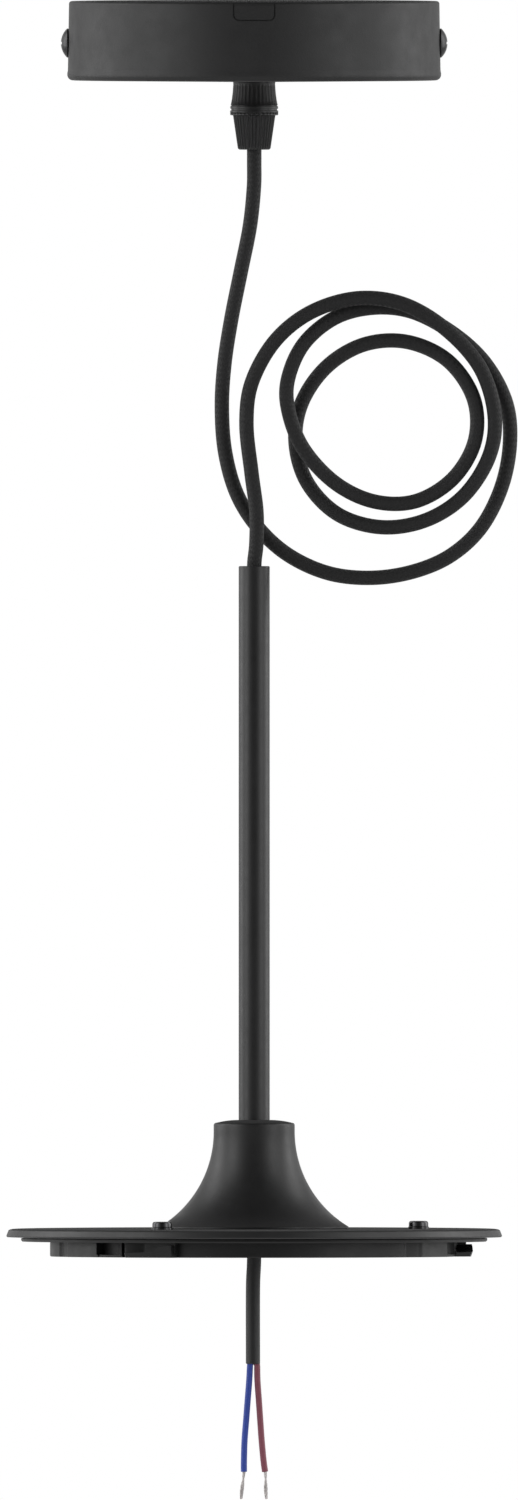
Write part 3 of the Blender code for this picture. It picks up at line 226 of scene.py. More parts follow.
def bore(radius, reach, place, segments=32):
    """Cutter for a round hole, which reaches equally far to both sides of its place."""
    profile = [(0.0, reach), (radius, reach), (radius, -reach), (0.0, -reach)]
    return lathe("hole", profile, segments, False, place=place)


def block(name, size, place=Matrix()):
    """A box centred on its place."""
    shape = bmesh.new()
    bmesh.ops.create_cube(shape, size=1.0)
    bmesh.ops.scale(shape, vec=size, verts=shape.verts)
    bmesh.ops.transform(shape, matrix=place, verts=shape.verts)
    return as_object(name, shape)


def sector(name, inner, outer, start, end, bottom, top, steps, lean=0.0):
    """A sector of a square ring. Angles are in degrees from the front towards +X.

    The radii and levels are numbers, or functions of the share of the way from start to end. The outer
    face leans in by lean at its bottom.
    """
    shape = bmesh.new()
    rows = []
    for step in range(steps + 1):
        share = step / steps
        near, far, low, roof = [
            value(share) if callable(value) else value for value in (inner, outer, bottom, top)]
        turn = math.radians(start + (end - start) * share)
        out = Vector((math.sin(turn), -math.cos(turn), 0.0))
        rows.append([shape.verts.new(out * r + Vector((0.0, 0.0, z))) for r, z in (
            (near, low), (far - lean, low), (far, roof), (near, roof))])
    for first, second in zip(rows, rows[1:]):
        for side in range(4):
            shape.faces.new((first[side], first[side - 1], second[side - 1], second[side]))
    shape.faces.new(rows[0])
    shape.faces.new(rows[-1])
    return as_object(name, shape)


def carve(thing, *cutters, operation="DIFFERENCE"):
    """Cuts the cutters out of a piece, or joins them to it, and removes them."""
    for cutter in cutters:
        modifier = thing.modifiers.new("carve", "BOOLEAN")
        modifier.operation = operation
        modifier.solver = "EXACT"
        modifier.object = cutter
    graph = bpy.context.evaluated_depsgraph_get()
    mesh = bpy.data.meshes.new_from_object(thing.evaluated_get(graph))
    thing.modifiers.clear()
    thing.data = mesh
    for cutter in cutters:
        bpy.data.objects.remove(cutter, do_unlink=True)
    mesh.shade_smooth()
    mesh.set_sharp_from_angle(angle=math.radians(35.0))
    return thing


def even_normals(thing):
    """Keeps flat faces flat next to small ones."""
    modifier = thing.modifiers.new("normals", "WEIGHTED_NORMAL")
    modifier.keep_sharp = True
    return thing


def smooth_route(route, samples=24):
    """A dense smooth line that passes through all of the route's points."""
    points = [Vector(point) for point in route]
    points = [points[0] * 2 - points[1], *points, points[-1] * 2 - points[-2]]
    line = []
    for before, start, end, after in zip(points, points[1:], points[2:], points[3:]):
        for index in range(samples):
            t = index / samples
            line.append(0.5 * (
                2 * start + (end - before) * t
                + (2 * before - 5 * start + 4 * end - after) * t * t
                + (3 * start - before - 3 * end + after) * t * t * t))
    line.append(points[-2])
    return line


def even_points(line, spacing):
    """Points at equal distances along a dense line, ends included."""
    travelled = [0.0]
    for first, second in zip(line, line[1:]):
        travelled.append(travelled[-1] + (second - first).length)
    count = max(2, round(travelled[-1] / spacing) + 1)
    result = []
    place = 0
    for index in range(count):
        goal = travelled[-1] * index / (count - 1)
        while place < len(line) - 2 and travelled[place + 1] < goal:
            place += 1
        part = (goal - travelled[place]) / (travelled[place + 1] - travelled[place])
        result.append(line[place].lerp(line[place + 1], min(part, 1.0)))
    return result


def sweep_into(shape, points, radius, sides, edge=0.0):
    """Adds a round tube along points to a bmesh, with UVs: turns across, millimetres along."""
    layer = shape.loops.layers.uv.get("along") or shape.loops.layers.uv.new("along")
    directions = [
        (points[min(i + 1, len(points) - 1)] - points[max(i - 1, 0)]).normalized()
        for i in range(len(points))]
    side = directions[0].cross(Vector((0.0, 1.0, 0.0))).normalized()
    travelled = 0.0
    rings = []
    for index, (point, direction) in enumerate(zip(points, directions)):
        side = (side - direction * side.dot(direction)).normalized()
        other = direction.cross(side)
        if index:
            travelled += (point - points[index - 1]).length
        stops = [(point, radius, travelled)]
        if edge and index == 0:
            stops.insert(0, (point, radius - edge, travelled))
            stops[1] = (point + direction * edge, radius, travelled + edge)
        if edge and index == len(points) - 1:
            stops.append((point, radius - edge, travelled))
            stops[0] = (point - direction * edge, radius, travelled - edge)
        for middle, out, along in stops:
            ring = []
            for step in range(sides):
                turn = math.tau * step / sides
                offset = side * math.cos(turn) + other * math.sin(turn)
                ring.append(shape.verts.new(middle + offset * out))
            rings.append((ring, along))
    for (first, start), (second, end) in zip(rings, rings[1:]):
        for step in range(sides):
            after = (step + 1) % sides
            face = shape.faces.new((first[step], first[after], second[after], second[step]))
            places = (
                (step / sides, start), ((step + 1) / sides, start),
                ((step + 1) / sides, end), (step / sides, end))
            for loop, where in zip(face.loops, places):
                loop[layer].uv = where
    for ring, along in (rings[0], rings[-1]):
        face = shape.faces.new(ring)
        for loop in face.loops:
            loop[layer].uv = (0.5, along)


def cord_mesh(name, points, diameter, sides=32, edge=0.25):
    """A round cord along points."""
    shape = bmesh.new()
    sweep_into(shape, points, diameter / 2, sides, edge)
    return as_object(name, shape)


def strand_bundle(name, points, diameter, twist=15.0):
    """Two twisted bunches of fine wires that part a little and end in rounded tips."""
    bunches, wires, wire_sides, tip_tilt = 2, 4, 8, 0.6
    together, apart, start, wind, stagger = 0.20, 0.10, 0.5, 1.5, 0.3
    wire = diameter * 0.14
    spread = 1.25
    tip_radius = diameter * 0.26
    shape = bmesh.new()
    length = (points[-1] - points[0]).length
    for bunch in range(bunches):
        middle = []
        for point in points:
            share = (point - points[0]).length / length
            turn = math.pi * bunch + start + math.tau * share * length / twist
            part = diameter * (together + apart * math.sin(math.pi * share) ** 2)
            middle.append(point + Vector((math.cos(turn) * part, math.sin(turn) * part, 0.0)))
        for index in range(wires):
            line = []
            for place, point in enumerate(middle):
                turn = math.tau * (index / wires + place / len(middle) * wind + bunch * stagger)
                line.append(point + Vector((math.cos(turn), math.sin(turn), 0.0)) * wire * spread)
            sweep_into(shape, line, wire, wire_sides)
        tip = Matrix.Translation(middle[-1]) @ Matrix.Rotation(tip_tilt * bunch, 4, "Y")
        bmesh.ops.create_uvsphere(shape, u_segments=16, v_segments=10, radius=tip_radius, matrix=tip)
    return as_object(name, shape, 60.0)


# Materials


def node(tree, kind, inputs=(), **settings):
    """A shader node with its settings and its inputs, which are values or other nodes' outputs."""
    made = tree.nodes.new(kind)
    for key, value in settings.items():
        setattr(made, key, value)
    for key, value in dict(inputs).items():
        if isinstance(value, bpy.types.NodeSocket):
            tree.links.new(value, made.inputs[key])
        else:
            made.inputs[key].default_value = value
    return made


def calc(tree, operation, *values):
    """The result of a math node."""
    return node(tree, "ShaderNodeMath", enumerate(values), operation=operation).outputs[0]


def noise(tree, vector, scale, detail=2.0, roughness=0.5):
    """A noise value between 0 and 1."""
    inputs = {"Vector": vector, "Scale": scale, "Detail": detail, "Roughness": roughness}
    return node(tree, "ShaderNodeTexNoise", inputs).outputs[0]


def between(tree, value, low, high, start=0.3, end=0.7, interpolation="LINEAR"):
    """Maps a value's range to low..high."""
    inputs = {"Value": value, "From Min": start, "From Max": end, "To Min": low, "To Max": high}
    return node(tree, "ShaderNodeMapRange", inputs, interpolation_type=interpolation).outputs[0]


def blend(tree, factor, first, second):
    """A mix of two colours."""
    made = node(tree, "ShaderNodeMix", {0: factor}, data_type="RGBA")
    for socket, colour in ((made.inputs[6], first), (made.inputs[7], second)):
        if isinstance(colour, bpy.types.NodeSocket):
            tree.links.new(colour, socket)
        else:
            socket.default_value = (*colour, 1.0)
    return made.outputs[2]


def shade_of(colour, share):
    """A colour made darker or lighter."""
    return tuple(channel * share for channel in colour)


def surface(name, metallic=0.0, specular=0.5, **fixed):
    """An empty Principled material, its tree and its shader."""
    material = bpy.data.materials.new(name)
    material.use_nodes = True
    tree = material.node_tree
    shader = tree.nodes["Principled BSDF"]
    shader.inputs["Metallic"].default_value = metallic
    shader.inputs["Specular IOR Level"].default_value = specular
    for key, value in fixed.items():
        shader.inputs[key.replace("_", " ")].default_value = value
    return material, tree, shader


def grained(name, colour, roughness, grain, depth, stretch=(1.0, 1.0, 1.0), vary=0.12, dust=0.0, **fixed):
    """A solid finish: fine grain in relief, uneven gloss and a little uneven colour.

    grain is the size of the grain and depth its relief, both in millimetres. dust is how much
    roughness fine dust adds to the faces that look up.
    """
    patch, clouds, uneven, tilted, level = 14.0, 45.0, 0.15, 0.72, 0.97
    material, tree, shader = surface(name, **fixed)
    place = node(tree, "ShaderNodeTexCoord").outputs["Object"]
    drawn = node(tree, "ShaderNodeMapping", {"Vector": place, "Scale": stretch}).outputs[0]
    fine = noise(tree, drawn, 1.0 / (grain * MM), 3.0, 0.6)
    broad = noise(tree, drawn, 1.0 / (grain * MM * patch), 2.0)
    cloud = noise(tree, place, clouds, 3.0)
    mean = calc(tree, "ADD", calc(tree, "MULTIPLY", fine, 0.5), calc(tree, "MULTIPLY", broad, 0.5))
    gloss = between(tree, mean, roughness * (1.0 - uneven), roughness * (1.0 + uneven))
    if dust:
        normal = node(tree, "ShaderNodeNewGeometry").outputs["Normal"]
        upward = node(tree, "ShaderNodeSeparateXYZ", {0: normal}).outputs[2]
        dusty = between(tree, upward, 0.0, dust, tilted, level, "SMOOTHSTEP")
        gloss = calc(tree, "ADD", gloss, dusty)
    darker, lighter = shade_of(colour, 1.0 - vary), shade_of(colour, 1.0 + vary)
    tint = blend(tree, between(tree, cloud, 0.0, 1.0), darker, lighter)
    tree.links.new(tint, shader.inputs["Base Color"])
    tree.links.new(gloss, shader.inputs["Roughness"])
    bump = node(tree, "ShaderNodeBump", {"Strength": 1.0, "Distance": depth * MM, "Height": fine})
    tree.links.new(bump.outputs[0], shader.inputs["Normal"])
    return material


def braided(name, colour, light, columns=16, pitch=1.7, depth=0.09):
    """Textile braid: two sets of yarns that cross over and under, with their filaments and fuzz.

    columns is the number of yarns across the cord's turn and pitch their step along it.
    """
    filament_waves, filament_height, fuzz_height, fuzz_scale, gap_shade = 8.0, 0.12, 0.6, 3500.0, 0.35
    material, tree, shader = surface(name, specular=0.4, Sheen_Weight=0.06, Sheen_Roughness=0.5)
    along_cord = node(tree, "ShaderNodeUVMap", uv_map="along").outputs[0]
    parts = node(tree, "ShaderNodeSeparateXYZ", {0: along_cord})
    across = calc(tree, "MULTIPLY", parts.outputs[0], float(columns))
    down = calc(tree, "DIVIDE", parts.outputs[1], pitch)
    right = calc(tree, "ADD", across, down)
    left = calc(tree, "SUBTRACT", across, down)
    cells = calc(tree, "ADD", calc(tree, "FLOOR", right), calc(tree, "FLOOR", left))
    over = calc(tree, "GREATER_THAN", calc(tree, "FLOORED_MODULO", cells, 2.0), 0.5)
    heights = []
    for yarn in (right, left):
        share = calc(tree, "FRACT", yarn)
        round_top = calc(tree, "SINE", calc(tree, "MULTIPLY", share, math.pi))
        filaments = calc(tree, "SINE", calc(tree, "MULTIPLY", share, math.pi * filament_waves))
        heights.append(calc(tree, "ADD", round_top, calc(tree, "MULTIPLY", filaments, filament_height)))
    chosen = node(tree, "ShaderNodeMix", {0: over, 2: heights[0], 3: heights[1]}, data_type="FLOAT")
    place = node(tree, "ShaderNodeTexCoord").outputs["Object"]
    fuzz = noise(tree, place, fuzz_scale, 3.0, 0.7)
    height = calc(tree, "ADD", chosen.outputs[0], calc(tree, "MULTIPLY", fuzz, fuzz_height))
    bump = node(tree, "ShaderNodeBump", {"Strength": 1.0, "Distance": depth * MM, "Height": height})
    tree.links.new(bump.outputs[0], shader.inputs["Normal"])
    # Painted shade: the yarns' low parts and the gaps between them are coloured darker, down to gap_shade of
    # the colour.
    lit = between(tree, chosen.outputs[0], 0.45, 1.0, 0.1, 0.9)
    base = blend(tree, between(tree, fuzz, 0.0, 1.0, 0.35, 0.75), colour, light)
    tint = blend(tree, lit, shade_of(colour, gap_shade), base)
    tree.links.new(tint, shader.inputs["Base Color"])
    tree.links.new(between(tree, fuzz, 0.52, 0.75), shader.inputs["Roughness"])
    return material


# Pieces


def dress(piece, material, slot, *nodes):
    """Gives a piece its material and its place in the frame."""
    piece.data.materials.clear()
    piece.data.materials.append(material)
    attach(piece, "root")
    if nodes:
        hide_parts(*nodes)
    return piece


def dress_nodes(material, *nodes):
    """Gives CAD nodes that stay a better material."""
    for name in nodes:
        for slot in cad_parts[name].material_slots:
            slot.material = material


def canopy():
    """The cup, with the grip's hole, the screws' holes and the scored knock-out."""
    edge, bead, rise, thickness = 1.8, 0.14, 0.5, 2.0
    rim_edge, inner_edge, chamfer, cutter_reach = 0.9, 0.6, 0.2, 6.0
    low = CANOPY_BOTTOM + rise
    floor = CANOPY_BOTTOM + thickness
    inner_wall = CANOPY_RADIUS - CANOPY_WALL
    inner_rim = CANOPY_RIM - CANOPY_WALL
    profile = arc((CANOPY_RIM - rim_edge, -rim_edge), rim_edge, 90.0, 0.0, 6)
    for swell, height in ((-0.06, 3.9), (-0.02, 3.1), (bead, 2.3)):
        profile.append((CANOPY_RADIUS + swell, low + height))
    profile += arc((CANOPY_RADIUS + bead - edge, low + edge), edge, 0.0, -90.0, 10)
    profile += [(GRIP_SEAT, CANOPY_BOTTOM), (TUBE_PASSAGE, CANOPY_BOTTOM), (TUBE_PASSAGE, floor)]
    profile += arc((inner_wall - inner_edge, floor + inner_edge), inner_edge, -90.0, 0.0, 4)
    profile += [(inner_rim, -chamfer), (inner_rim + chamfer, 0.0)]
    cup = lathe("canopy", profile, 192)
    for side in (-1, 1):
        place = Matrix.Translation((side * CANOPY_RADIUS, 0.0, SIDE_SCREW_Z))
        carve(cup, bore(SIDE_SCREW_HOLE, cutter_reach, place @ Matrix.Rotation(math.pi / 2, 4, "Y")))
    carve(cup, score_cutter())
    carve(cup, knockout_panel(), operation="UNION")
    return even_normals(cup)


def knockout_panel():
    """The knock-out's tab, which stands a hair proud inside its score."""
    top, sunk, proud, bevel, crease = -1.0, 1.0, 0.16, 0.14, 0.8
    half, corner = KNOCKOUT_WIDTH / 2 - SCORE_WIDTH, KNOCKOUT_CORNER - SCORE_WIDTH
    bottom = SCORE_WIDTH - KNOCKOUT_HEIGHT
    corner_arc = arc((half - corner, bottom + corner), corner, 0.0, -90.0, 6)
    flat = [(half * part / 5 * (1.0 - corner / half), bottom) for part in range(-4, 5)]
    columns = [(-x, z) for x, z in corner_arc] + flat + corner_arc[::-1]
    shape = bmesh.new()
    rows = []
    for x, z in columns:
        row = []
        for radius in (CANOPY_RIM - sunk, CANOPY_RIM + proud):
            y = -math.sqrt(radius ** 2 - x * x)
            row.append([shape.verts.new((x, y, z)), shape.verts.new((x, y, top))])
        rows.append(row)
    for first, second in zip(rows, rows[1:]):
        (back_low, back_top), (front_low, front_top) = first
        (next_back_low, next_back_top), (next_front_low, next_front_top) = second
        shape.faces.new((back_low, back_top, next_back_top, next_back_low))
        shape.faces.new((front_low, next_front_low, next_front_top, front_top))
        shape.faces.new((back_low, next_back_low, next_front_low, front_low))
        shape.faces.new((back_top, front_top, next_front_top, next_back_top))
    for row in (rows[0], rows[-1]):
        shape.faces.new((row[0][0], row[0][1], row[1][1], row[1][0]))
    bmesh.ops.recalc_face_normals(shape, faces=shape.faces)
    front = {vertex for row in rows for vertex in row[1]}
    rim = [line for line in shape.edges
           if line.calc_face_angle(0.0) > crease and all(vertex in front for vertex in line.verts)]
    bmesh.ops.bevel(shape, geom=rim, offset=bevel, segments=2, affect="EDGES", clamp_overlap=True)
    return as_object("tab", shape)


def score_cutter():
    """Cutter for the thin U-shaped score of the knock-out in the front wall."""
    above, beyond = 1.0, 2.0
    shape = bmesh.new()
    rows = []
    for inset in (0.0, SCORE_WIDTH):
        right = KNOCKOUT_WIDTH / 2 - inset
        bottom = inset - KNOCKOUT_HEIGHT
        corner = KNOCKOUT_CORNER - inset
        path = [(right, above)]
        path += arc((right - corner, bottom + corner), corner, 0.0, -90.0, 6)
        path += [(-x, z) for x, z in path[::-1]]
        rows.append(path)
    layers = []
    for radius in (CANOPY_RIM - SCORE_DEPTH, CANOPY_RADIUS + beyond):
        layers.append([[shape.verts.new((x, -math.sqrt(radius ** 2 - x * x), z)) for x, z in path]
                       for path in rows])
    (deep_out, deep_in), (far_out, far_in) = layers
    last = len(deep_out) - 1
    for index in range(last):
        after = index + 1
        shape.faces.new((deep_out[index], deep_out[after], far_out[after], far_out[index]))
        shape.faces.new((deep_in[after], deep_in[index], far_in[index], far_in[after]))
        shape.faces.new((deep_out[after], deep_out[index], deep_in[index], deep_in[after]))
        shape.faces.new((far_out[index], far_out[after], far_in[after], far_in[index]))
    for index in (0, last):
        shape.faces.new((deep_out[index], deep_in[index], far_in[index], far_out[index]))
    return as_object("score", shape)


def cross_recess(length, place):
    """Two crossed blocks that cut a cross recess into a screw's head."""
    return [block("recess", (*size, RECESS_DEPTH * 2), place) for size in (
        (length, RECESS_WIDTH), (RECESS_WIDTH, length))]


def side_screw(word, side):
    """Domed cross-head screw on the canopy's wall."""
    head, height, edge, under, recess = 4.7, 2.1, 0.1, 0.5, 3.8
    shank, length, tip = 2.0, 8.0, 1.0
    wall = CANOPY_RIM + (CANOPY_RADIUS - CANOPY_RIM) * SIDE_SCREW_Z / CANOPY_BOTTOM + GAP
    dome = height - edge
    radius = (head ** 2 + dome ** 2) / (2 * dome)
    half = math.degrees(math.asin(head / radius))
    profile = arc((0.0, height - radius), radius, 90.0, 90.0 - half, 12)
    profile[0] = (0.0, height)
    profile += [(head, -edge), (head - edge, -under), (shank, -under), (shank, tip - length),
                (shank - tip, -length), (0.0, -length)]
    turn = Matrix.Rotation(side * math.pi / 2, 4, "Y")
    place = Matrix.Translation((side * wall, 0.0, SIDE_SCREW_Z)) @ turn
    screw = lathe("side_screw_head_" + word, profile, 64, False, place=place)
    carve(screw, *cross_recess(recess, place @ Matrix.Translation((0.0, 0.0, height))))
    return even_normals(screw)


def flutes(depths):
    """Upright flutes with sharp crests between them, as deep as each profile point says."""
    return lambda turn, index: -depths.get(index, 0.0) * abs(math.cos(turn * FLUTES / 2)) ** FLUTE_POWER


def grip_body():
    """Fluted upper drum that widens to a collar, with its thread through the canopy."""
    thread, root, pitch, relief = 5.0, 4.75, 0.5, 4.8
    top, collar, groove, edge, flute = 6.8, 7.7, 7.35, 0.1, 0.11
    sleeve, sleeve_end, steps = 4.7, -38.0, 14
    profile = [(thread, THREAD_END)]
    for index in range(int((THREAD_END - GRIP_TOP - GAP) / pitch)):
        z = THREAD_END - pitch / 2 - index * pitch
        profile += [(thread, z), (root, z - pitch / 2)]
    profile += [(relief, CANOPY_BOTTOM), (top - edge, CANOPY_BOTTOM), (top, CANOPY_BOTTOM - edge),
                (top, CANOPY_BOTTOM - 0.45)]
    depths = {}
    fluted_top, fluted_end = CANOPY_BOTTOM - 0.5, GRIP_BODY_END + 0.3
    for index in range(steps + 1):
        part = index / steps
        depths[len(profile)] = flute * min(1.0, index, (steps - index) * 0.5)
        radius = 6.74 + 0.46 * part + 0.40 * part ** 3
        profile.append((radius, fluted_top + (fluted_end - fluted_top) * part))
    profile += [(groove, GRIP_BODY_END + 0.2), (groove, GRIP_BODY_END), (collar - edge, GRIP_BODY_END),
                (collar, GRIP_BODY_END - edge), (collar, GRIP_COLLAR_END + edge),
                (collar - edge, GRIP_COLLAR_END), (sleeve, GRIP_COLLAR_END),
                (sleeve, sleeve_end), (CORD_PASSAGE, sleeve_end), (CORD_PASSAGE, THREAD_END)]
    return lathe("grip_drum", profile, FLUTES * 12, wave=flutes(depths))


def grip_nut():
    """Fluted tapered clamping nut. Its flange butts on the drum's collar over a dark groove."""
    groove, collar, edge = 7.4, 7.75, 0.1
    wide, taper, steps = 6.8, 1.48, 13
    notch, scallop, flute, end_flute = 0.45, 0.12, 0.46, 0.38
    socket, throat, socket_end, throat_end = 5.0, 4.3, -38.3, -46.4
    profile = [(groove, GRIP_COLLAR_END), (groove, NUT_TOP), (collar - edge, NUT_TOP),
               (collar, NUT_TOP - edge), (collar, NUT_TOP - 0.55)]
    depths = {}
    for radius, z, depth in (
            (collar, NUT_TOP - 0.6, 0.0), (collar, NUT_TOP - 0.7, notch), (collar, NUT_TOP - 0.9, notch),
            (collar, NUT_TOP - 1.0, scallop), (collar, NUT_COLLAR_END + edge, scallop),
            (collar - edge, NUT_COLLAR_END, scallop), (6.85, NUT_COLLAR_END - edge, 0.2)):
        depths[len(profile)] = depth
        profile.append((radius, z))
    for index in range(steps + 1):
        part = index / steps
        depths[len(profile)] = flute - (flute - end_flute) * part
        z = NUT_COLLAR_END - 0.3 + (NUT_END + 0.9 - NUT_COLLAR_END) * part
        profile.append((wide - taper * part, z))
    depths[len(profile)] = 0.18
    profile += [(5.15, NUT_END + 0.25), (4.75, NUT_END), (CORD_PASSAGE + 0.3, NUT_END),
                (CORD_PASSAGE, NUT_END + 0.3), (CORD_PASSAGE, throat_end), (throat, throat_end),
                (throat, socket_end), (socket, socket_end), (socket, GRIP_COLLAR_END)]
    return lathe("grip_cap", profile, FLUTES * 12, wave=flutes(depths))


def trumpet():
    """Hollow flared cover with a slightly domed top."""
    edge, dome, wall, steps = 0.8, 0.9, 1.5, 10
    centre = (NECK_RADIUS + FLARE_RADIUS, FLARE_START)
    depth = FLARE_START - FLARE_END
    span = math.degrees(math.asin(depth / FLARE_RADIUS))
    foot = centre[0] - math.sqrt(FLARE_RADIUS ** 2 - depth ** 2)
    run = NECK_RADIUS - edge - TUBE_PASSAGE
    profile = [(TUBE_PASSAGE + run * part / steps, NECK_TOP - dome * (part / steps) ** 2)
               for part in range(steps)]
    profile += arc((NECK_RADIUS - edge, NECK_TOP - dome - edge), edge, 90.0, 0.0, 6)
    profile += arc(centre, FLARE_RADIUS, 180.0, 180.0 + span, 40)
    profile += [(foot, TRUMPET_FOOT - 0.1), (foot - 0.15, FLANGE_TOP + 0.05), (foot - 0.3, FLANGE_TOP)]
    inside = arc(centre, FLARE_RADIUS + wall, 180.0 + span, 180.0, 20)
    ceiling = NECK_TOP - dome - wall
    profile += [(inside[0][0], FLANGE_TOP), *inside[1:]]
    profile += [(NECK_RADIUS - wall, ceiling), (TUBE_PASSAGE, ceiling)]
    return lathe("trumpet", profile, 160)


def tube():
    """Straight tube with a small bevel at both ends."""
    round_edge, round_middle, bevel, inner_bevel = 0.3, 0.09, 0.2, 0.1
    return lathe("tube", [
        (TUBE_RADIUS - round_edge, TUBE_TOP), (TUBE_RADIUS - round_middle, TUBE_TOP - round_middle),
        (TUBE_RADIUS, TUBE_TOP - round_edge), (TUBE_RADIUS, TUBE_BOTTOM + bevel),
        (TUBE_RADIUS - bevel, TUBE_BOTTOM), (TUBE_BORE + inner_bevel, TUBE_BOTTOM),
        (TUBE_BORE, TUBE_BOTTOM + inner_bevel), (TUBE_BORE, TUBE_TOP - bevel),
        (TUBE_BORE + bevel, TUBE_TOP)], 96)


def screw_places():
    """Number and axis of each flange screw."""
    for index, degrees in enumerate(FLANGE_SCREW_ANGLES, 1):
        turn = math.radians(degrees)
        yield index, FLANGE_SCREW_RADIUS * math.sin(turn), -FLANGE_SCREW_RADIUS * math.cos(turn)


def flange():
    """Turned disc with a rounded top edge, a rim that leans out and three screw holes."""
    upper, lower, drop, run, edge, cutter_reach = 79.15, 79.75, 0.65, 2.4, 0.5, 6.0
    profile = []
    for degrees in range(0, 90, 9):
        angle = math.radians(degrees)
        radius = upper - run * (1.0 - math.sin(angle))
        profile.append((radius, FLANGE_TOP - drop * (1.0 - math.cos(angle))))
    profile += [(upper, FLANGE_TOP - drop)]
    profile += arc((lower - edge, FLANGE_BOTTOM + edge), edge, 0.0, -90.0, 6)
    profile += [(TUBE_PASSAGE, FLANGE_BOTTOM), (TUBE_PASSAGE, FLANGE_TOP)]
    disc = lathe("flange", profile, 256)
    for _, x, y in screw_places():
        carve(disc, bore(FLANGE_SCREW_HOLE, cutter_reach, Matrix.Translation((x, y, FLANGE_TOP))))
    return even_normals(disc)


def flange_screw(index, x, y):
    """Rimmed pan-head screw with a cross recess."""
    rim, head, rim_top, top, edge, recess = 3.4, 3.15, 0.4, 2.3, 0.1, 3.0
    shank, length, tip = 1.5, 6.5, 0.3
    profile = [(0.0, top)]
    for inset, drop in ((0.9, 0.0), (0.35, 0.12), (0.08, 0.45), (0.0, 0.8)):
        profile.append((head - inset, top - drop))
    profile += [(head, rim_top + edge), (head + edge, rim_top), (rim - edge, rim_top),
                (rim, rim_top - edge), (rim, -GAP), (shank, -GAP), (shank, tip - length),
                (shank - tip, -length), (0.0, -length)]
    place = Matrix.Translation((x, y, FLANGE_TOP + GAP))
    screw = lathe("flange_screw_head_%d" % index, profile, 48, False, place=place)
    carve(screw, *cross_recess(recess, place @ Matrix.Translation((0.0, 0.0, top))))
    return even_normals(screw)


def value_at(stops, share):
    """The value at a share of the way through (share, value) stops."""
    for (first, first_value), (second, second_value) in zip(stops, stops[1:]):
        if share <= second:
            return first_value + (second_value - first_value) * (share - first) / (second - first)
    return stops[-1][1]


def lug_top(share):
    """Height of a lug's top: a slowly rising sill, then a step up to the higher part."""
    return RING_BOTTOM + value_at(LUG_TOP, share)


def lug_face(share):
    """Radius of a lug's outer face, which ramps out of the ring at its start."""
    return RING_RADIUS + value_at(LUG_FACE, share)


def ring_profile():
    """Outline of the plate and of the ring's walls."""
    wall, inside, plate, step, edge = 4.0, 46.0, 75.0, 0.7, 0.15
    plate_edge, ring_edge = 0.4, 0.25
    return [
        (plate - step, FLANGE_BOTTOM), (plate - step, PLATE_TOP), (plate - edge, PLATE_TOP),
        (plate, PLATE_TOP - edge), (plate, PLATE_BOTTOM + plate_edge), (plate - plate_edge, PLATE_BOTTOM),
        (RING_RADIUS, PLATE_BOTTOM), (RING_RADIUS, RING_BOTTOM + ring_edge),
        (RING_RADIUS - ring_edge, RING_BOTTOM), (RING_RADIUS - wall, RING_BOTTOM),
        (RING_RADIUS - wall, PLATE_BOTTOM), (inside, PLATE_BOTTOM), (inside, FLANGE_BOTTOM)]


def slot_back(share):
    """Radius of the slot's back over a lug, which runs out at both ends."""
    depth, into, out_of = 2.2, 2.6, 8.0
    return RING_RADIUS + 0.1 - depth * min(1.0, into * share, out_of - out_of * share)


def pad_face(share):
    """Radius of a pad's face, which rises from the ring at its start."""
    rise, steepness = 0.4, 12.0
    return RING_RADIUS + rise * min(1.0, steepness * share)


def ramp_back(share):
    """Radius of a ramp's face, which steps into the ring and climbs out of it."""
    depth, steepness = 1.1, 5.0
    return RING_RADIUS + 0.05 - depth * (1.0 - share) * min(1.0, steepness * share)


def pocket_back(share):
    """Radius of a pocket's back, which curves out in its second half."""
    depth, least = 2.8, 0.15
    return RING_RADIUS - depth * math.sqrt(1.0 - max(0.0, share * 2.0 - 1.0) ** 2) - least


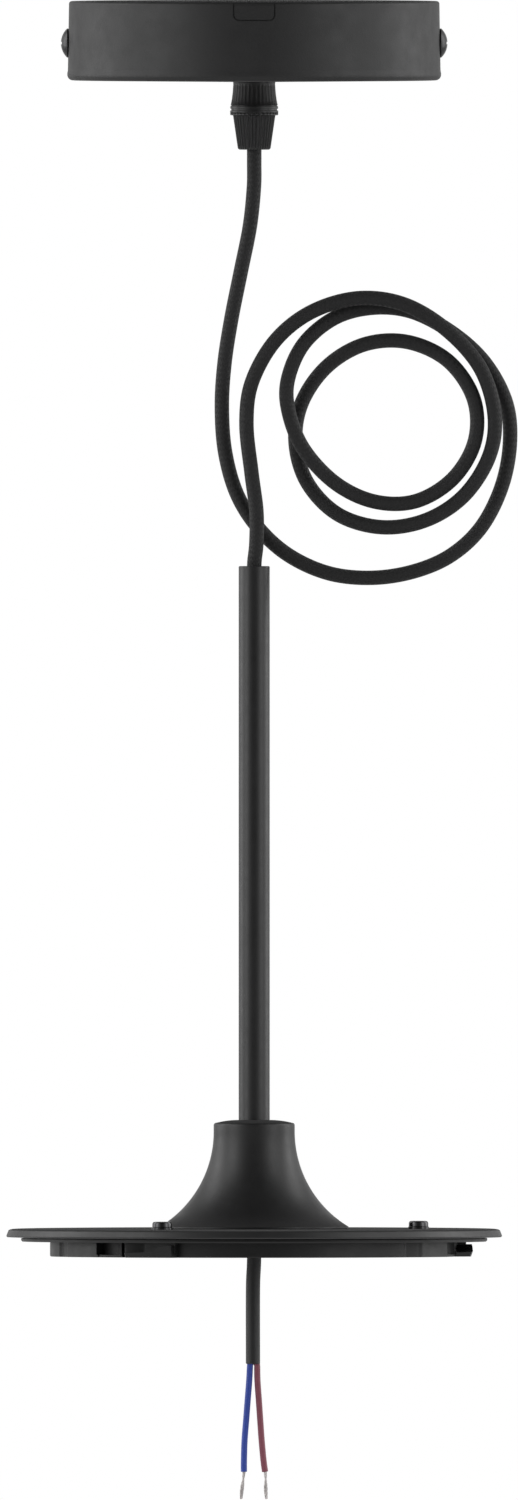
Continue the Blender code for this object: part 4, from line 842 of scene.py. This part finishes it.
def bayonet():
    """Plate and downward ring, with three ramped lugs, pockets, seams, pads, ramps and bosses."""
    gap, overlap, beyond, below = 0.05, 2.0, 70.9, 1.0
    lug_lean, stop_lift, seam_depth, pocket_lip = 0.6, 1.0, 1.3, 0.8
    boss, boss_height, boss_edge, cutter_reach = 3.75, 3.95, 0.2, 9.0
    ring = lathe("bayonet", ring_profile(), 240)
    middle = (PLATE_TOP + PLATE_BOTTOM) / 2
    root = RING_RADIUS - overlap
    cut_top = PLATE_BOTTOM - gap
    stop_span = (SLOT_END, LUG_SPAN[1])
    slot_share = (SLOT_END - LUG_SPAN[0]) / (LUG_SPAN[1] - LUG_SPAN[0])
    joined = []
    cut = []
    for index in range(BAYONET_COUNT):
        turn = index * 360.0 / BAYONET_COUNT

        def part(name, inner, outer, span, bottom, top, steps, lean=0.0, start=turn):
            return sector(name, inner, outer, start + span[0], start + span[1], bottom, top, steps, lean)

        joined += [
            part("lug", root, lug_face, LUG_SPAN, RING_BOTTOM, lug_top, 57, lug_lean),
            part("stop", root, LUG_STOP_RADIUS, stop_span, RING_BOTTOM + stop_lift, middle, 8),
            part("pad", root, pad_face, PAD_SPAN, RING_BOTTOM, middle, 36)]
        cut += [
            part("slot", slot_back, beyond, (LUG_SPAN[0], SLOT_END),
                 lambda share: lug_top(share * slot_share) + gap, cut_top, 32),
            part("seam", RING_RADIUS - seam_depth, beyond, SEAM_SPAN, RING_BOTTOM - below, cut_top, 6),
            part("ramp", ramp_back, beyond, RAMP_SPAN, RING_BOTTOM - below, cut_top, 24),
            part("pocket", pocket_back, beyond, POCKET_SPAN, RING_BOTTOM + pocket_lip, cut_top, 30)]
    boss_profile = [(0.0, 0.0), (boss, 0.0), (boss, boss_edge - boss_height),
                    (boss - boss_edge, -boss_height), (0.0, -boss_height)]
    for _, x, y in screw_places():
        place = Matrix.Translation((x, y, middle))
        joined.append(lathe("boss", boss_profile, 32, False, place=place))
        cut.append(bore(FLANGE_SCREW_HOLE, cutter_reach, place, 24))
    for piece in joined:
        carve(ring, piece, operation="UNION")
    for piece in cut:
        carve(ring, piece)
    return even_normals(ring)


def lead_points(side):
    """Route of a core from the cord's end to its terminal."""
    mouth, sleeve, insertion, half_pitch, half_spread = 14.0, -7.8, 6.0, 5.4, 1.25
    start = CORD_TOP + GAP
    pole, near = side * half_pitch, side * half_spread
    route = [(0.0, near, start)]
    for across, sideways, up in LEAD_BENDS:
        route.append((mouth * across, near + (pole - near) * sideways, start + (sleeve - start) * up))
    route += [(mouth, pole, sleeve), (mouth + insertion, pole, sleeve)]
    return even_points(smooth_route(route), 0.6)


def below_bush(route, spacing):
    """Even points along a route that is measured from the lower bush's mouth."""
    drop = Vector((0.0, 0.0, BUSH_BOTTOM))
    return [point + drop for point in even_points(smooth_route(route), spacing)]


def cords(braid, sheath, blue, brown, copper):
    """The textile cord, the cable end with its cores, and the leads in the canopy."""
    free = even_points(smooth_route(CORD_ROUTE), 1.2)
    cord = dress(cord_mesh("textile_cord", free, CORD_DIAMETER), braid, "black_textile", "braided_cord")
    for name, top, bottom in (
            ("cord_in_grip", CORD_TOP, CORD_ROUTE[0][2] + GAP),
            ("cord_in_tube", CORD_ROUTE[-1][2] - GAP, BUSH_BOTTOM + CABLE_ROUTE[0][2] + GAP)):
        run = even_points([Vector((0.0, 0.0, top)), Vector((0.0, 0.0, bottom))], 2.0)
        dress(cord_mesh("held_" + name, run, CORD_DIAMETER), braid, "black_textile", name)

    cable = below_bush(CABLE_ROUTE, 0.8)
    piece = dress(cord_mesh("cable_sheath", cable, CABLE_DIAMETER), sheath, "black_sheath", "lower_cable")
    for name, material, core_route, strand_route in (
            ("blue", blue, BLUE_CORE_ROUTE, BLUE_STRAND_ROUTE),
            ("brown", brown, BROWN_CORE_ROUTE, BROWN_STRAND_ROUTE)):
        bare = below_bush(strand_route, 0.25)
        inside = bare[0] + Vector((0.0, 0.0, 0.5))
        strands = strand_bundle(name + "_strands", [inside, *bare], STRAND_DIAMETER)
        dress(strands, copper, "tinned_copper", "strand_" + name)
        line = below_bush(core_route, 0.6)
        root = Vector(((line[0].x + CABLE_ROUTE[-1][0]) * 0.5, 0.0, line[0].z + 1.2))
        core = cord_mesh(name + "_core", [root, *line], CORE_DIAMETER, 24, 0.12)
        dress(core, material, name + "_insulation", "core_" + name)
    for side, word, material, slot in (
            (-1, "live", brown, "brown_insulation"), (1, "neutral", blue, "blue_insulation")):
        piece = cord_mesh("canopy_lead_" + word, lead_points(side), CORE_DIAMETER, 24, 0.12)
        dress(piece, material, slot, "lead_" + word)


def build():
    """Every piece with its material."""
    black, plastic_black = (0.012, 0.012, 0.0123), (0.012, 0.012, 0.0122)
    drawn = (1.0, 1.0, 0.2)
    coat = grained("black_coat", black, 0.52, grain=0.40, depth=0.030)
    satin = grained("satin_black", black, 0.40, grain=0.22, depth=0.008, dust=0.45)
    # Painted light: the flange disc gets a lighter copy of the satin black, so that it renders lighter than
    # the tube and trumpet.
    disc = grained("satin_disc_painted_light", (0.016, 0.016, 0.0163), 0.42, grain=0.22, depth=0.008, dust=0.55,
                   specular=0.55)
    plastic = grained("black_plastic", plastic_black, 0.40, grain=0.30, depth=0.010)
    # Painted shade: the bayonet ring gets a darker copy of the black plastic, so that it renders darker than
    # the grip.
    ring_shade_copy = grained("ring_plastic_painted_shade", (0.011, 0.011, 0.0112), 0.42, grain=0.30, depth=0.010,
                      specular=0.38)
    screw = grained("black_screw", (0.075, 0.075, 0.077), 0.22, grain=0.25, depth=0.006, metallic=1.0)
    # Painted shade: the side screws get a darker copy of the screws' black metal, so that they render darker
    # than the flange screws.
    dome = grained("side_screw", (0.052, 0.052, 0.053), 0.28, grain=0.25, depth=0.006, metallic=1.0)
    zinc = grained("zinc_steel", (0.55, 0.56, 0.58), 0.34, grain=0.5, depth=0.010, stretch=(1.0, 0.15, 1.0),
                   metallic=1.0)
    brass = grained("brass", (0.72, 0.52, 0.22), 0.30, grain=0.3, depth=0.008, metallic=1.0)
    ivory = grained("ivory_plastic", (0.70, 0.67, 0.58), 0.48, grain=0.4, depth=0.012, vary=0.04)
    nylon = grained("natural_nylon", (0.60, 0.57, 0.50), 0.50, grain=0.4, depth=0.012, vary=0.04)
    sheath = grained("black_sheath", (0.014, 0.014, 0.0145), 0.46, grain=0.35, depth=0.012,
                     stretch=(1.0, 1.0, 0.25))
    blue = grained("blue_insulation", (0.042, 0.084, 0.430), 0.42, grain=0.5, depth=0.010, stretch=drawn,
                   vary=0.08, specular=0.35)
    brown = grained("brown_insulation", (0.275, 0.082, 0.112), 0.42, grain=0.5, depth=0.010, stretch=drawn,
                    vary=0.08, specular=0.35)
    copper = grained("tinned_copper", (0.56, 0.53, 0.52), 0.32, grain=0.15, depth=0.004, metallic=1.0)
    braid = braided("black_textile", (0.009, 0.009, 0.0093), (0.022, 0.022, 0.0226))

    cords(braid, sheath, blue, brown, copper)
    dress(canopy(), coat, "black_coat", "canopy_cup")
    for word, side in (("left", -1), ("right", 1)):
        dress(side_screw(word, side), dome, "black_screw", "side_screw_" + word)
    dress(grip_body(), plastic, "black_plastic", "grip_body")
    dress(grip_nut(), plastic, "black_plastic", "grip_nut")
    dress(tube(), satin, "satin_black", "down_tube")
    dress(trumpet(), satin, "satin_black", "trumpet_cover")
    dress(flange(), disc, "satin_black", "flange_disc")
    for index, x, y in screw_places():
        dress(flange_screw(index, x, y), screw, "black_screw", "flange_screw_%d" % index)
    dress(bayonet(), ring_shade_copy, "black_plastic", "bayonet_ring")

    dress_nodes(coat, "ceiling_bracket")
    dress_nodes(zinc, "block_screw", "grip_lock_nut", "grip_lock_washer",
                "tube_nut_upper", "tube_nut_lower", "tube_washer_lower", "terminal_screw_live_cord",
                "terminal_screw_live_supply", "terminal_screw_neutral_cord", "terminal_screw_neutral_supply")
    dress_nodes(brass, "terminal_sleeve_live", "terminal_sleeve_neutral")
    dress_nodes(ivory, "terminal_block")
    dress_nodes(nylon, "grip_clamp_ring")
    dress_nodes(plastic, "tube_bush_upper", "tube_bush_lower")


# Studio


def floor_piece():
    """Plain pale floor. It gives off part of its light, and keeps the object's shadow."""
    seen_glow, mirrored_glow = 0.72, 0.25
    shape = bmesh.new()
    bmesh.ops.create_grid(shape, x_segments=1, y_segments=1, size=FLOOR_REACH)
    bmesh.ops.translate(shape, vec=(0.0, 0.0, FLOOR_LEVEL), verts=shape.verts)
    floor = as_object("studio_floor", shape)
    material, tree, shader = surface("pale_floor", specular=0.2)
    place = node(tree, "ShaderNodeTexCoord").outputs["Object"]
    tone = blend(tree, noise(tree, place, 3.0), (0.66, 0.66, 0.66), (0.70, 0.70, 0.70))
    tree.links.new(tone, shader.inputs["Base Color"])
    shader.inputs["Roughness"].default_value = 0.8
    glow = node(tree, "ShaderNodeEmission", {"Color": (1.0, 1.0, 1.0, 1.0), "Strength": 1.0})
    seen, mirrored = ray_kinds(tree)
    share = calc(tree, "MAXIMUM", calc(tree, "MULTIPLY", seen, seen_glow), calc(
        tree, "MULTIPLY", mirrored, mirrored_glow))
    mixed = node(tree, "ShaderNodeMixShader", {0: share, 1: shader.outputs[0], 2: glow.outputs[0]})
    tree.links.new(mixed.outputs[0], tree.nodes["Material Output"].inputs["Surface"])
    floor.data.materials.append(material)
    return floor


def ray_kinds(tree):
    """Two values: the camera sees the surface, and something mirrors or lets through its light."""
    rays = node(tree, "ShaderNodeLightPath").outputs
    return rays["Is Camera Ray"], calc(tree, "MAXIMUM", rays["Is Glossy Ray"], rays["Is Transmission Ray"])


def soft_lamp(name, place, power, size):
    """An area lamp that points at the object."""
    light = bpy.data.lights.new(name, "AREA")
    light.shape = "RECTANGLE"
    light.size, light.size_y = size[0] * MM, size[1] * MM
    light.energy = power
    lamp = bpy.data.objects.new(name, light)
    lamp.location = Vector(place) * MM
    lamp.rotation_euler = (Vector(LAMP_AIM) - Vector(place)).to_track_quat("-Z", "Y").to_euler()
    lamp.visible_camera = False
    bpy.context.scene.collection.objects.link(lamp)


def backdrop():
    """White for the camera. Other rays find it light at the sides and back, dim in front and above."""
    back_share, front_level, ceiling_level, fill_level = 0.62, 0.14, 0.45, 1.2
    dim_until, full_from = 0.2, 0.85
    world = bpy.data.worlds.new("studio")
    bpy.context.scene.world = world
    world.use_nodes = True
    tree = world.node_tree
    background = tree.nodes["Background"]
    direction = node(tree, "ShaderNodeTexCoord").outputs["Generated"]
    parts = node(tree, "ShaderNodeSeparateXYZ", {0: direction}).outputs
    sideways, backwards = calc(tree, "ABSOLUTE", parts[0]), calc(tree, "MULTIPLY", parts[1], back_share)
    open_side = calc(tree, "MAXIMUM", sideways, backwards)
    walls = between(tree, open_side, front_level, 1.0, dim_until, full_from, "SMOOTHSTEP")
    ceiling = between(tree, parts[2], 1.0, ceiling_level, dim_until, full_from, "SMOOTHSTEP")
    room = calc(tree, "MULTIPLY", walls, ceiling)
    seen, mirrored = ray_kinds(tree)
    fill = between(tree, mirrored, fill_level, 1.0, 0.0, 1.0)
    level = calc(tree, "MAXIMUM", calc(tree, "MULTIPLY", room, fill), seen)
    background.inputs["Color"].default_value = (1.0, 1.0, 1.0, 1.0)
    tree.links.new(level, background.inputs["Strength"])


def studio():
    """Floor, backdrop light, four soft lamps and the camera."""
    floor = floor_piece()
    soft_lamp("left_softbox", (-1500.0, -800.0, 250.0), 6.5, (800.0, 1500.0))
    soft_lamp("right_softbox", (1400.0, -1000.0, 250.0), 5.0, (800.0, 1500.0))
    soft_lamp("left_side", (-1500.0, 450.0, 250.0), 6.5, (700.0, 1500.0))
    soft_lamp("right_side", (1500.0, 450.0, 250.0), 6.5, (700.0, 1500.0))
    backdrop()

    camera = bpy.data.objects.new("camera", bpy.data.cameras.new("camera"))
    camera.data.type = "ORTHO"
    camera.data.ortho_scale = VIEW_HEIGHT * MM
    lift = math.radians(VIEW_ELEVATION)
    back = Vector((0.0, -math.cos(lift), math.sin(lift)))
    camera.location = (Vector(VIEW_MIDDLE) + back * VIEW_DISTANCE) * MM
    camera.rotation_euler = (-back).to_track_quat("-Z", "Y").to_euler()
    bpy.context.scene.collection.objects.link(camera)
    bpy.context.scene.camera = camera
    bpy.context.scene.view_settings.view_transform = "Standard"


build()
studio()
